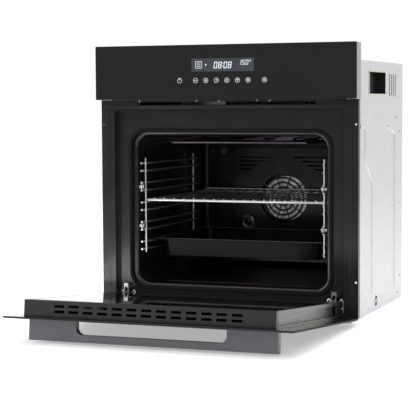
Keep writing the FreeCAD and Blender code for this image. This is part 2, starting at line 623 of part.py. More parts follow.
for hand, side in sides():
    skin = block("skin_" + hand, span(side, skin_in, "d.body_half"), (skin_front, skin_rear),
                 ("0", "d.body_top"))
    through = span(side, "d.body_half-15", "d.body_half+5")
    openings = [rounded(block("lift_" + hand, through, ("d.lift_front", "d.lift_back"),
                              ("d.lift_low", "d.lift_top")), "lift_round", runs_along("x"))]
    for number in range(LOUVRES):
        edge = "d.louvre_front+%d*d.louvre_step" % number
        louvre = block("louvre_%s_%d" % (hand, number), through, (edge, edge + "+d.louvre_wide"),
                       ("d.louvre_low", "d.louvre_top"))
        openings.append(rounded(louvre, "louvre_round", runs_along("x")))
    openings.append(block("skin_foot_" + hand, through, ("-20", "0.2"),
                          ("0", "d.frame_low+d.enamel+0.3")))
    openings.append(block("skin_head_" + hand, through, ("-20", "0.2"),
                          ("d.panel_low-0.4-d.enamel", "d.panel_low+0.2")))
    turned_in = block("skin_front_" + hand, span(side, "d.body_half-d.turn_wide", skin_in),
                      (skin_front, skin_front + "+d.sheet_metal"),
                      ("d.turn_low", "d.panel_low-d.turn_drop"))
    node(cut("side_" + hand, join("skin_solid_" + hand, [skin, turned_in]), openings),
         "side_panel_" + hand)
TOP_VENTS = 15
BACK_VENTS = 10
top_vents = []
for number in range(TOP_VENTS):
    edge = "(%d)*d.top_vent_step" % (number - TOP_VENTS // 2)
    top_vents.append(block("top_vent_%d" % number, (edge + "-10", edge + "-10+d.top_vent_wide"),
                           ("d.top_vent_front", "d.top_vent_back"), ("d.body_top-10", "d.body_top+10")))
top_flat = block("top_flat", even(skin_in), ("d.top_front", skin_rear),
                 ("d.body_top-d.sheet_metal", "d.body_top"))
node(cut("top_sheet", top_flat, top_vents), "top_panel")
behind_fan = ("0", "d.body_back-5", "d.fan_high")
bump_outer = rod("bump_outer", "Y", ("0", "d.body_back-d.sheet_metal", "d.fan_high"), "d.bump_reach",
                 "d.bump_out+d.sheet_metal")
bump_room = rod("bump_room", "Y", behind_fan, "d.bump_reach-d.sheet_metal",
                "d.bump_out+5-d.sheet_metal")
back_sheet = block("back_sheet", even("d.body_half"), ("d.body_back-d.sheet_metal", "d.body_back"),
                   ("d.base_turn+d.sheet_gap", "d.body_top"))
back_holes = [rod("back_way", "Y", behind_fan, "d.bump_reach-d.sheet_metal", "10")]
for number in range(BACK_VENTS):
    edge = "d.back_vent_first+%d*d.back_vent_step" % number
    back_holes.append(block("back_vent_%d" % number, (edge, edge + "+d.back_vent_wide"),
                            ("d.body_back-6", "d.body_back+9"), ("d.back_vent_low", "d.back_vent_top")))
bump = cut("bump", bump_outer, [bump_room])
node(join("back_all", [cut("back_flat", back_sheet, back_holes), bump]), "back_panel")

# ---- mineral-wool blanket round the cavity ----

sizes(wool_half=244, wool_low=47, wool_top=420, wool_back=436, wool_clear=0.3, wool_notch_half=14)
wool = block("wool_solid", even("d.wool_half"), ("d.cavity_front+d.enamel+0.2", "d.wool_back"),
             ("d.wool_low", "d.wool_top"))
wool_cuts = [block("wool_room", even("d.cavity_half+d.enamel+d.wool_clear"),
                   ("0", "d.cavity_back+d.enamel+d.wool_clear"),
                   ("d.floor_high-d.element_reach-4", "d.cavity_top+d.enamel+d.wool_clear")),
             block("wool_mouth", even("d.cavity_half+d.rim+d.wool_clear"),
                   ("0", "d.cavity_front+d.rim_deep+d.wool_clear"),
                   ("d.cavity_low-d.rim-d.wool_clear", "d.cavity_top+d.rim+d.wool_clear")),
             rod("wool_fan", "Y", ("0", "d.cavity_back-5", "d.fan_high"), "d.fan_hole", "40"),
             rod("wool_lamp", "Y", on_lamp("d.cavity_back-5"), "d.lamp_hole", "40")]
for hand, side in sides():
    notch = span(side, "d.hinge_across-d.wool_notch_half", "d.hinge_across+d.wool_notch_half")
    wool_cuts.append(block("wool_hinge_" + hand, notch, ("0", "80"),
                           ("d.wool_low-5", "d.hinge_slot_top+8")))
node(cut("wool", wool, wool_cuts), "insulation_blanket")

# ---- lifting cups in the side openings ----

sizes(cup_flange=1.2, cup_deep=24, cup_wall=2.6, cup_proud=1, cup_clear=0.3)
for hand, side in sides():
    cup_body = block("cup_body_" + hand, span(side, "d.body_half-d.cup_deep", "d.body_half+0.1"),
                     ("d.lift_front+d.cup_clear", "d.lift_back-d.cup_clear"),
                     ("d.lift_low+d.cup_clear", "d.lift_top-d.cup_clear"))
    collar = block("cup_collar_" + hand, span(side, "d.body_half", "d.body_half+d.cup_proud"),
                   ("d.lift_front-d.cup_flange", "d.lift_back+d.cup_flange"),
                   ("d.lift_low-d.cup_flange", "d.lift_top+d.cup_flange"))
    room = block("cup_room_" + hand, span(side, "d.body_half-d.cup_deep+d.cup_wall", "d.body_half+5"),
                 ("d.lift_front+d.cup_clear+d.cup_wall", "d.lift_back-d.cup_clear-d.cup_wall"),
                 ("d.lift_low+d.cup_clear+d.cup_wall", "d.lift_top-d.cup_clear-d.cup_wall"))
    shape = join("cup_solid_" + hand, [rounded(cup_body, "lift_round", runs_along("x")),
                                       rounded(collar, "lift_round", runs_along("x"))])
    node(cut("cup_" + hand, shape, [room]), "lift_cup_" + hand)

# ---- cooling blower above the cavity, with a flat duct to the slot over the door ----

sizes(duct_half=210, duct_low=460, duct_top=475.3, duct_back=250, duct_front=12.7, blower_along=288,
      blower_high=484, rotor_reach=27, case_reach=36, case_half=100, case_wall=1.5, axle=3,
      axle_bore=3.05, stack_start=106, stack_end=146, stack_half=24)
duct = cut("duct_tube", block("duct_outer", even("d.duct_half"), ("-d.duct_front", "d.duct_back"),
                              ("d.duct_low", "d.duct_top")),
           [block("duct_room", even("d.duct_half-d.sheet_metal"), ("-20", "d.duct_back+10"),
                  ("d.duct_low+d.sheet_metal", "d.duct_top-d.sheet_metal"))])
node(duct, "air_duct")
case_at = ("-d.case_half", "d.blower_along", "d.blower_high")
case_solid = rod("case_outer", "X", case_at, "d.case_reach", "2*d.case_half")
case_room = rod("case_room", "X", ("-d.case_half+d.case_wall", "d.blower_along", "d.blower_high"),
                "d.case_reach-d.case_wall", "2*d.case_half-2*d.case_wall")
case_outlet = block("case_outlet", even("d.case_half-d.case_wall"),
                    ("d.blower_along-45", "d.blower_along-15"),
                    ("d.duct_low+d.sheet_metal", "d.duct_top-d.sheet_metal"))
case_inlet = block("case_inlet", even("d.case_half-6"), ("d.blower_along-14", "d.blower_along+18"),
                   ("d.blower_high+20", "d.blower_high+45"))
case_bore = rod("case_bore", "X", ("-d.case_half-5", "d.blower_along", "d.blower_high"), "d.axle_bore",
                "2*d.case_half+10")
hangers = [block("hanger_" + hand, span(side, "d.case_half-d.case_wall", "d.case_half"),
                 ("d.blower_along-18", "d.blower_along+18"),
                 ("d.blower_high+20", "d.body_top-d.sheet_metal")) for hand, side in sides()]
node(cut("blower_case", join("case_hung", [case_solid] + hangers),
         [case_room, case_outlet, case_inlet, case_bore]), "blower_housing")
ROTOR_BLADES = 16
rotor_parts = [rod("rotor_axle", "X", ("-d.case_half-4", "d.blower_along", "d.blower_high"), "d.axle",
                   "d.stack_end+d.case_half+8")]
for number in range(3):
    disc_at = "-d.case_half+4+%d*(d.case_half-5)" % number
    rotor_parts.append(rod("rotor_disc_%d" % number, "X", (disc_at, "d.blower_along", "d.blower_high"),
                           "d.rotor_reach", "2"))
for number in range(ROTOR_BLADES):
    vane = doc.addObject("Part::Box", "rotor_vane_%d" % number)
    bind(vane, Length="2*d.case_half-8", Width="1", Height="6")
    turned = Rotation(Vector(1, 0, 0), 360.0 * number / ROTOR_BLADES)
    middle = Vector(-size("case_half") + 4, size("blower_along"), size("blower_high"))
    leaned = Placement(Vector(0, 0, size("rotor_reach") - 7.5), Rotation(Vector(1, 0, 0), 20))
    vane.Placement = Placement(middle, turned).multiply(leaned)
    rotor_parts.append(vane)
node(join("rotor", rotor_parts), "blower_rotor")
stack = block("stack_solid", ("d.stack_start", "d.stack_end"),
              ("d.blower_along-d.stack_half", "d.blower_along+d.stack_half"),
              ("d.blower_high-d.stack_half", "d.blower_high+d.stack_half"))
stack_bore = rod("stack_bore", "X", ("d.stack_start-5", "d.blower_along", "d.blower_high"), "d.axle_bore",
                 "60")
node(cut("blower_stack", stack, [stack_bore]), "blower_motor")

# ---- mains terminal block and the gland the cord goes in by, at the back ----

sizes(mains_across=-177.5, terminal_half=27.5, terminal_low=478, terminal_top=520, terminal_deep=18,
      terminal_pitch=17.5, terminal_way=3, gland_half=22.5, gland_low=448, gland_top=460,
      gland_deep=16, gland_way=4.2, gland_way_out=7)
terminal_box = block("terminal_box",
                     ("d.mains_across-d.terminal_half", "d.mains_across+d.terminal_half"),
                     ("d.body_back+0.1", "d.body_back+d.terminal_deep"),
                     ("d.terminal_low", "d.terminal_top"))
terminal_ways = [rod("terminal_way_%d" % number, "Z",
                     ("d.mains_across+(%d)*d.terminal_pitch" % (number - 1),
                      "d.body_back+d.terminal_deep/2", "d.terminal_low-8"), "d.terminal_way", "60")
                 for number in range(3)]
node(cut("terminal_solid", terminal_box, terminal_ways), "terminal_block")
gland_bar = block("gland_bar", ("d.mains_across-d.gland_half", "d.mains_across+d.gland_half"),
                  ("d.body_back+0.1", "d.body_back+d.gland_deep"), ("d.gland_low", "d.gland_top"))
gland_hole = rod("gland_hole", "Z", ("d.mains_across", "d.body_back+d.gland_way_out", "d.gland_low-8"),
                 "d.gland_way", "30")
node(cut("gland_solid", gland_bar, [gland_hole]), "cord_gland")

# ---- hinges: the arm stays on the oven, the cassette and its pin turn with the door ----

sizes(pin_out=28, pin_high=23, pin_reach=2.5, pin_bore=2.55, eye_reach=6, arm_half=3, door_angle=84.77,
      lock_along=-7, lock_high=40, lock_bore=1.6, rivet_reach=1.55, rivet_half=5.6, leg_across=4.3,
      leg_thick=1.6, receiver_half=11, receiver_wall=2, receiver_rear=76, receiver_low=19,
      roller_along=68, roller_reach=5, roller_half=10)
ARM_UNDER = [(-10, 24), (8, 26), (60, 26)]
ARM_OVER = [(60, 44), (44, 52), (8, 52), (-4, 48), (-16, 38)]
LOCK_LEG = [(-10.5, 36.5), (-3.5, 36.5), (-3.5, 62), (-6, 68), (-10.5, 68)]
LOCK_BRIDGE = [(-10.5, 60), (-8.9, 60), (-8.9, 68), (-10.5, 68)]
pin_y, pin_z = -size("pin_out"), size("pin_high")
eye_root = size("eye_reach") - 0.5
for hand, side in sides():
    middle = side * size("hinge_across")
    arm_low = middle - size("arm_half")
    arm = outline("arm_bar_" + hand, "X", arm_low, middle + size("arm_half"),
                  [(pin_y, pin_z - eye_root)] + ARM_UNDER + ARM_OVER + [(pin_y, pin_z + eye_root)])
    eye = rod("arm_eye_" + hand, "X", (str(arm_low), "-d.pin_out", "d.pin_high"), "d.eye_reach",
              "2*d.arm_half")
    bore = rod("arm_bore_" + hand, "X", (str(arm_low - 2), "-d.pin_out", "d.pin_high"), "d.pin_bore",
               "2*d.arm_half+4")
    rivet_bore = rod("lock_bore_" + hand, "X", (str(arm_low - 2), "d.lock_along", "d.lock_high"),
                     "d.lock_bore", "2*d.arm_half+4")
    node(cut("arm_" + hand, join("arm_solid_" + hand, [arm, eye]), [bore, rivet_bore]),
         "hinge_arm_" + hand)
    box_outer = block("receiver_out_" + hand,
                      span(side, "d.hinge_across-d.receiver_half", "d.hinge_across+d.receiver_half"),
                      ("d.recess_back+d.enamel+0.1", "d.receiver_rear"),
                      ("d.receiver_low", "d.hinge_slot_top+1"))
    box_room = block("receiver_in_" + hand,
                     span(side, "d.hinge_across-d.receiver_half+d.receiver_wall",
                          "d.hinge_across+d.receiver_half-d.receiver_wall"),
                     ("0", "d.receiver_rear-d.receiver_wall"),
                     ("d.receiver_low+d.receiver_wall", "d.hinge_slot_top+1-d.receiver_wall"))
    roller = rod("roller_" + hand, "X", (str(middle - size("roller_half")), "d.roller_along", "d.lock_high"),
                 "d.roller_reach", "2*d.roller_half")
    node(join("receiver_" + hand, [cut("receiver_box_" + hand, box_outer, [box_room]), roller]),
         "hinge_receiver_" + hand)
    legs = []
    for leg in (-1, 1):
        low = middle + leg * size("leg_across") - size("leg_thick") / 2
        legs.append(outline("lock_leg_%s_%d" % (hand, leg + 1), "X", low, low + size("leg_thick"), LOCK_LEG))
    leg_reach = size("leg_across") + size("leg_thick") / 2
    bridge = outline("lock_bridge_" + hand, "X", middle - leg_reach, middle + leg_reach, LOCK_BRIDGE)
    rivet = rod("lock_rivet_" + hand, "X", (str(middle - size("rivet_half")), "d.lock_along", "d.lock_high"),
                "d.rivet_reach", "2*d.rivet_half")
    node(join("lock_" + hand, legs + [bridge, rivet]), "hinge_lock_" + hand)

# ---- door, drawn shut and measured from its hinge pin, then swung open about that pin ----

sizes(door_front=-11, door_low=-10.4, door_top=450, inner_face=26.5, box_top=432, box_across=259.5,
      inner_glass_low=50, inner_glass_top=418, side_low=34, profile_wall=2, cassette_wall=1.5,
      middle_face=8, cassette_half=9, cassette_top=150, handle_half=258, handle_drop=38,
      handle_thick=15, handle_out=43, handle_grip=15, handle_slot=156, handle_corner=13.9,
      handle_edge=2, handle_screw_at=205, handle_screw_head=3.5, handle_screw_rise=2.4)
door_place = Placement(Vector(0, -size("pin_out"), size("pin_high")),
                       Rotation(Vector(1, 0, 0), size("door_angle")))


def door_node(obj, label):
    obj.Placement = door_place
    obj.setExpression("Placement.Base.y", "-d.pin_out")
    obj.setExpression("Placement.Base.z", "d.pin_high")
    return node(obj, label)


door_node(plate("door_glass_outer", even("d.front_half"), ("d.door_low", "d.door_top"), "d.door_front",
                "d.glass", "d.glass_corner"), "door_glass_outer")
door_node(plate("door_glass_middle", even("d.hinge_across-15"),
                ("d.inner_glass_low+4", "d.inner_glass_top-8"), "d.middle_face",
                "d.glass", "d.glass_corner"), "door_glass_middle")
door_node(plate("door_glass_inner", even("d.box_across-8"), ("d.inner_glass_low", "d.inner_glass_top"),
                "d.inner_face-d.glass", "d.glass", "d.glass_corner"), "door_glass_inner")
behind = "d.door_front+d.glass+0.1"
sizes(vent_pitch=30.5, vent_half=10.5, vent_half_tall=2.6, vent_row_front=5, vent_row_rear=15.5,
      profile_tall=14)
profile_outer = block("profile_outer", even("d.box_across"), (behind, "d.inner_face"),
                      ("d.box_top-d.profile_tall", "d.box_top"))
profile_room = block("profile_room", even("d.box_across-d.profile_wall"),
                     (behind + "+d.profile_wall", "d.inner_face-d.profile_wall"),
                     ("d.box_top-20", "d.box_top-d.profile_wall"))
profile_slots = []
VENTS = 13
for number in range(VENTS):
    middle = "(%d)*d.vent_pitch" % (number - VENTS // 2)
    for row in ("front", "rear"):
        line = "d.vent_row_" + row
        profile_slots.append(block("profile_slot_%s_%d" % (row, number),
                                   (middle + "-d.vent_half", middle + "+d.vent_half"),
                                   (line + "-d.vent_half_tall", line + "+d.vent_half_tall"),
                                   ("d.box_top-5", "d.box_top+5")))
door_node(cut("profile_top", profile_outer, [profile_room] + profile_slots), "door_top_profile")
for hand, side in sides():
    channel = block("channel_" + hand, span(side, "d.box_across-8", "d.box_across"),
                    (behind, "d.inner_face"), ("d.side_low+0.1", "d.box_top-d.profile_tall-0.1"))
    groove = block("groove_" + hand, span(side, "d.box_across-5", "d.box_across+5"),
                   ("d.door_front+d.glass+5", "d.inner_face-7"), ("0", "d.box_top"))
    rebate = block("rebate_" + hand, span(side, "d.box_across-8.5", "d.box_across-7.95"),
                   ("d.inner_face-d.glass-0.1", "d.inner_face+1"), ("0", "d.box_top"))
    door_node(cut("side_profile_" + hand, channel, [groove, rebate]), "door_side_profile_" + hand)
    corner_near = "d.hinge_across+d.cassette_half"
    corner_solid = block("corner_solid_" + hand, span(side, corner_near + "+0.1", "d.box_across"),
                         (behind, "d.inner_face"), ("d.door_low", "d.side_low"))
    corner_relief = block("corner_relief_" + hand, span(side, corner_near + "+2", "d.box_across-2"),
                          ("d.door_front+d.glass+3", "d.inner_face-3"), ("d.door_low+3", "d.side_low+5"))
    door_node(cut("corner_" + hand, corner_solid, [corner_relief]), "door_corner_" + hand)
    cassette = block("cassette_solid_" + hand,
                     span(side, "d.hinge_across-d.cassette_half", "d.hinge_across+d.cassette_half"),
                     (behind, "d.inner_face-d.glass-2"), ("d.door_low+1", "d.cassette_top"))
    cassette_room = block("cassette_room_" + hand,
                          span(side, "d.hinge_across-d.cassette_half+d.cassette_wall",
                               "d.hinge_across+d.cassette_half-d.cassette_wall"),
                          ("d.door_front+d.glass+0.6", "d.inner_face+5"),
                          ("-40", "d.cassette_top-d.cassette_wall"))
    pin_way = rod("pin_way_" + hand, "X", ("%d*d.hinge_across-20" % side, "0", "0"), "d.pin_reach", "40")
    door_node(cut("cassette_" + hand, cassette, [cassette_room, pin_way]), "hinge_cassette_" + hand)
pins = [rod("pin_" + hand, "X", ("%d*d.hinge_across-d.cassette_half" % side, "0", "0"), "d.pin_reach",
            "2*d.cassette_half") for hand, side in sides()]
door_node(group("hinge_pins", pins), "hinge_pins")
sizes(spring_pitch=5, spring_reach=5, spring_wire=1.1, spring_out=6.5, spring_low=56)
SPRING_TURNS = 16
coil_wires = []
for hand, side in sides():
    pitch, reach = size("spring_pitch"), size("spring_reach")
    helix = Part.makeHelix(pitch, SPRING_TURNS * pitch, reach)
    profile = Part.Wire([Part.makeCircle(size("spring_wire"), Vector(reach, 0, 0), Vector(0, 1, 0))])
    coil = Part.Wire(helix).makePipeShell([profile], True, True)
    coil.translate(Vector(side * size("hinge_across"), size("spring_out"), size("spring_low")))
    coil_wires.append(coil)
springs = doc.addObject("Part::Feature", "springs")
springs.Shape = Part.makeCompound(coil_wires)
door_node(springs, "hinge_springs")
rail_solid = block("rail_solid", even("d.hinge_across-d.cassette_half-0.2"), (behind, "d.inner_face"),
                   ("d.door_low", "d.inner_glass_low-0.5"))
rail_room = block("rail_room", even("d.hinge_across-d.cassette_half-2"),
                  (behind + "+2", "d.inner_face-1.5"), ("d.door_low+2", "d.inner_glass_low+5"))
door_node(cut("bottom_rail", rail_solid, [rail_room]), "door_bottom_rail")
grip_top = "d.door_top-d.handle_drop"
grip_low = grip_top + "-d.handle_thick"
bar_body = block("handle_block", even("d.handle_half"), ("d.door_front-d.handle_out", "d.door_front-0.05"),
                 (grip_low, grip_top))
handle_gap = rounded(block("handle_gap", even("d.handle_slot"),
                           ("d.door_front-d.handle_out+d.handle_grip", "d.door_front+30"),
                           (grip_low + "-5", grip_top + "+5")), "handle_corner",
                     lambda e: runs_along("z")(e) and e.BoundBox.YMax < -20)
door_node(rounded(cut("handle_bar", bar_body, [handle_gap]), "handle_edge",
                  lambda e: runs_along("x")(e) and e.BoundBox.YMax < -50), "door_handle")
screws = [rod("handle_screw_" + hand, "Y",
              ("%d*d.handle_screw_at" % side, "d.door_front+d.glass+0.05", grip_low + "+d.handle_thick/2"),
              "d.handle_screw_head", "d.handle_screw_rise") for hand, side in sides()]
door_node(group("handle_screws", screws), "handle_screws")

# ---- casing screws: one group of pan heads on the sides, the top and the back ----

sizes(head_reach=3, head_rise=1.8)
SIDE_SCREWS = ((12, 548), (418, 543), (422, 480), (401, 434), (427, 400), (435, 228), (438, 54), (413, 16))
TOP_SCREWS = ((262, 104), (262, 215), (262, 384), (-262, 104), (-262, 215), (-262, 384))
BACK_SCREWS = ((-265, 40), (-265, 280), (-265, 530), (265, 40), (265, 280), (265, 530))
heads = []
for hand, side in sides():
    start = "d.body_half" if side > 0 else "-d.body_half-d.head_rise"
    for number, (y, z) in enumerate(SIDE_SCREWS):
        heads.append(rod("side_head_%s_%d" % (hand, number), "X", (start, str(y), str(z)),
                         "d.head_reach", "d.head_rise"))
for number, (x, y) in enumerate(TOP_SCREWS):
    heads.append(rod("top_head_%d" % number, "Z", (str(x), str(y), "d.body_top"),
                     "d.head_reach", "d.head_rise"))
for number, (x, z) in enumerate(BACK_SCREWS):
    heads.append(rod("back_head_%d" % number, "Y", (str(x), "d.body_back", str(z)),
                     "d.head_reach", "d.head_rise"))
node(group("casing_screws", heads), "casing_screws")

# ---- check everything, then write one file for each sub-part ----

doc.recompute()
faults = [o.Name for o in doc.Objects if "Invalid" in o.State or "Error" in o.State]
faults += [o.Label for o in nodes if o.Shape.isNull() or not o.Shape.isValid() or not o.Shape.Solids]
if faults:
    raise SystemExit("not built: " + ", ".join(faults))
os.makedirs("parts", exist_ok=True)
for obj in nodes:
    obj.Shape.exportStep("parts/%s.step" % obj.Label)
    print("%-24s %3d solids %12.1f mm3" % (obj.Label, len(obj.Shape.Solids), obj.Shape.Volume))
print(len(nodes), "nodes")
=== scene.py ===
import json
import math

import bmesh
import bpy
from mathutils import Matrix, Vector, noise


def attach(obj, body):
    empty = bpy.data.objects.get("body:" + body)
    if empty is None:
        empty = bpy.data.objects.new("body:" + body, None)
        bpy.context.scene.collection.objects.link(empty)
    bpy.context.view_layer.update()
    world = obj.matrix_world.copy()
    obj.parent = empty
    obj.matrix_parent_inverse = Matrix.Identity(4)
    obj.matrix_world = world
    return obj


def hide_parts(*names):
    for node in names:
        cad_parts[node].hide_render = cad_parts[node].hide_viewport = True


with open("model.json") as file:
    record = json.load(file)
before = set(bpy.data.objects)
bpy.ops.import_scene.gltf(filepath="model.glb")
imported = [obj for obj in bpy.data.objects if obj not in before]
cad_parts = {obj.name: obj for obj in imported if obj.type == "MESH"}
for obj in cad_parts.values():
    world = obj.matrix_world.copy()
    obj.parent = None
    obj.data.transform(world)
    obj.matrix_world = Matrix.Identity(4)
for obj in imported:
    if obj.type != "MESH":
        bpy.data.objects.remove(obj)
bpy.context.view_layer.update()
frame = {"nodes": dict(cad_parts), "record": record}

MM = 0.001


# ---- Studio ----
# A pale seamless floor under a large white tent, dimmer behind the viewer so that black glass and
# enamel keep their depth, with one long softbox on the left and one overhead. The floor's colour and
# glow carry painted shade, darker towards the front.

def paint(code):
    """A colour written as sRGB hex, as linear RGBA."""
    parts = [int(code[i:i + 2], 16) / 255 for i in (1, 3, 5)]
    return tuple(p / 12.92 if p <= 0.04045 else ((p + 0.055) / 1.055) ** 2.4 for p in parts) + (1.0,)


def add_node(tree, kind, inputs=None, **settings):
    """Adds a node; inputs maps a socket to a value or to the socket that feeds it."""
    made = tree.nodes.new(kind)
    for name, value in settings.items():
        setattr(made, name, value)
    for name, value in (inputs or {}).items():
        if isinstance(value, bpy.types.NodeSocket):
            tree.links.new(value, made.inputs[name])
        else:
            made.inputs[name].default_value = value
    return made


def new_material(name, **sockets):
    """A material with one Principled shader; returns the material, its tree and the shader."""
    material = bpy.data.materials.new(name)
    material.use_nodes = True
    tree = material.node_tree
    tree.nodes.clear()
    shader = add_node(tree, "ShaderNodeBsdfPrincipled",
                      {key.replace("_", " "): value for key, value in sockets.items()})
    add_node(tree, "ShaderNodeOutputMaterial", {"Surface": shader.outputs[0]})
    return material, tree, shader


scene = bpy.context.scene
scene.view_settings.view_transform = "Standard"
scene.view_settings.look = "None"

FRONT_LEVEL, AROUND_LEVEL = 0.28, 1.02
world = bpy.data.worlds.new("white_tent")
scene.world = world
world.use_nodes = True
tent = world.node_tree
tent.nodes.clear()
tent_way = add_node(tent, "ShaderNodeTexCoord")
tent_split = add_node(tent, "ShaderNodeSeparateXYZ", {0: tent_way.outputs["Generated"]})
tent_level = add_node(tent, "ShaderNodeMapRange",
                      {"Value": tent_split.outputs["Y"], "From Min": -0.85, "From Max": 0.7,
                       "To Min": FRONT_LEVEL, "To Max": AROUND_LEVEL}, interpolation_type="SMOOTHSTEP")
tent_light = add_node(tent, "ShaderNodeBackground",
                      {"Color": paint("#ffffff"), "Strength": tent_level.outputs[0]})
add_node(tent, "ShaderNodeOutputWorld", {"Surface": tent_light.outputs[0]})

FLOOR_HALF, FLOOR_GLOW = 3.4, 0.42
floor_cloth, floor_tree, floor_shader = new_material(
    "matte_white_paper", Base_Color=paint("#f7f7f7"), Roughness=0.9, Specular_IOR_Level=0.1)
floor_way = add_node(floor_tree, "ShaderNodeTexCoord")
floor_grain = add_node(floor_tree, "ShaderNodeTexNoise",
                       {"Vector": floor_way.outputs["Object"], "Scale": 1.5, "Detail": 2.0})
floor_tone = add_node(floor_tree, "ShaderNodeMix",
                      {0: floor_grain.outputs["Fac"], 6: paint("#f5f5f5"), 7: paint("#fafafa")},
                      data_type="RGBA")
# Painted shade: the paper's colour and glow are scaled down towards the front.
FLOOR_SHADE_PAINT_ENDS, FLOOR_SHADE_PAINT_FULL, FLOOR_PAINTED_SHADE = -1.05, -2.3, 0.24  # the paper falls into shade in front
floor_split = add_node(floor_tree, "ShaderNodeSeparateXYZ", {0: floor_way.outputs["Object"]})
floor_shade_paint = add_node(floor_tree, "ShaderNodeMapRange",
                      {"Value": floor_split.outputs["Y"], "From Min": FLOOR_SHADE_PAINT_FULL,
                       "From Max": FLOOR_SHADE_PAINT_ENDS, "To Min": FLOOR_PAINTED_SHADE, "To Max": 1.0},
                      interpolation_type="SMOOTHSTEP")
floor_shade = add_node(floor_tree, "ShaderNodeVectorMath",
                       {0: floor_tone.outputs[2], "Scale": floor_shade_paint.outputs[0]}, operation="SCALE")
floor_tree.links.new(floor_shade.outputs[0], floor_shader.inputs["Base Color"])
floor_tree.links.new(floor_shade.outputs[0], floor_shader.inputs["Emission Color"])
floor_shader.inputs["Emission Strength"].default_value = FLOOR_GLOW
floor_mesh = bmesh.new()
bmesh.ops.create_grid(floor_mesh, x_segments=2, y_segments=2, size=FLOOR_HALF)
floor_data = bpy.data.meshes.new("floor")
floor_mesh.to_mesh(floor_data)
floor_mesh.free()
floor_data.materials.append(floor_cloth)
floor = bpy.data.objects.new("floor", floor_data)
scene.collection.objects.link(floor)


def softbox(name, at, towards, width, height, power):
    """An area light that faces a point."""
    data = bpy.data.lights.new(name, "AREA")
    data.shape, data.size, data.size_y, data.energy = "RECTANGLE", width, height, power
    lamp = bpy.data.objects.new(name, data)
    lamp.location = at
    lamp.rotation_euler = (Vector(towards) - Vector(at)).to_track_quat("-Z", "Y").to_euler()
    scene.collection.objects.link(lamp)
    return lamp


softbox("overhead_softbox", (0.0, -0.4, 3.4), (0.0, 0.0, 0.2), 3.6, 3.6, 75)
softbox("left_softbox", (-2.6, -2.2, 1.5), (0.0, 0.1, 0.3), 0.9, 2.2, 55)
softbox("front_softbox", (1.5, -3.0, 1.8), (0.0, 0.2, 0.25), 0.8, 0.8, 20)
door_card = softbox("door_card", (-0.14, -0.17, 0.09), (-0.14, -0.10, 0.4), 0.46, 0.22, 0.9)
fan_card = softbox("fan_card", (0.0, 0.3915, 0.2365), (0.0, 0.45, 0.2365), 0.11, 0.11, 0.006)
for card in (door_card, fan_card):
    card.visible_camera = False

CAMERA_AT = (1.07403, -2.93975, 0.46961)
YAW, PITCH, ROLL = math.radians(20.885), math.radians(4.174), math.radians(-0.33)
camera_data = bpy.data.cameras.new("camera")
camera_data.lens, camera_data.sensor_width = 124.57, 36.0
camera = bpy.data.objects.new("camera", camera_data)
scene.collection.objects.link(camera)
scene.camera = camera
forward = Vector((-math.sin(YAW) * math.cos(PITCH), math.cos(YAW) * math.cos(PITCH), -math.sin(PITCH)))
level = Vector((math.cos(YAW), math.sin(YAW), 0.0))
upright = level.cross(forward)
right = math.cos(ROLL) * level + math.sin(ROLL) * upright
upward = math.cos(ROLL) * upright - math.sin(ROLL) * level
camera.matrix_world = Matrix.Translation(CAMERA_AT) @ Matrix((right, upward, -forward)).transposed().to_4x4()


# ---- Front frame ----
# A deep-drawn sheet-steel frame round the oven's mouth, dipped in black vitreous enamel and fired.
# Fired enamel is glass: it flows over every edge, and its face has a faint orange peel.

def enamel(name, deep, pale, peel_mm, dull, gloss=0.34):
    """Fired enamel: two close tones in cloudy patches, a glassy face with a little orange peel."""
    material, tree, shader = new_material(name, IOR=1.5, Specular_IOR_Level=gloss)
    way = add_node(tree, "ShaderNodeTexCoord")
    cloud = add_node(tree, "ShaderNodeTexNoise",
                     {"Vector": way.outputs["Object"], "Scale": 1 / (45 * MM), "Detail": 4.0})
    peel = add_node(tree, "ShaderNodeTexNoise",
                    {"Vector": way.outputs["Object"], "Scale": 1 / (peel_mm * MM), "Detail": 2.0})
    tone = add_node(tree, "ShaderNodeMix",
                    {0: cloud.outputs["Fac"], 6: paint(deep), 7: paint(pale)}, data_type="RGBA")
    dullness = add_node(tree, "ShaderNodeMapRange",
                        {"Value": cloud.outputs["Fac"], "From Min": 0.3, "From Max": 0.7,
                         "To Min": dull * 0.75, "To Max": dull * 1.3})
    wave = add_node(tree, "ShaderNodeBump",
                    {"Height": peel.outputs["Fac"], "Strength": 0.12, "Distance": 0.3 * MM})
    tree.links.new(tone.outputs[2], shader.inputs["Base Color"])
    tree.links.new(dullness.outputs[0], shader.inputs["Roughness"])
    tree.links.new(wave.outputs[0], shader.inputs["Normal"])
    return material


SOLID_BODY = {node: body for body, nodes in frame["record"]["behaviour"]["bodies"].items() for node in nodes}
NODE_SLOT = {part["node"]: part["material_slot"] for part in frame["record"]["subparts"]}


def shell_of(node):
    """A bmesh of a carried-over node, with its loose triangles joined and its flat faces whole."""
    bm = bmesh.new()
    bm.from_mesh(frame["nodes"][node].data)
    bmesh.ops.remove_doubles(bm, verts=bm.verts, dist=0.002 * MM)
    bmesh.ops.dissolve_limit(bm, angle_limit=math.radians(0.4), verts=bm.verts, edges=bm.edges)
    return bm


def ease(bm, width, sharper_than=32, whole=True):
    """Breaks every edge that is sharper than this many degrees."""
    edges = [e for e in bm.edges if e.is_manifold and e.calc_face_angle(0) > math.radians(sharper_than)]
    bmesh.ops.bevel(bm, geom=edges, offset=width * MM, offset_type="OFFSET", affect="EDGES",
                    segments=2, profile=0.5, material=-1, clamp_overlap=whole)


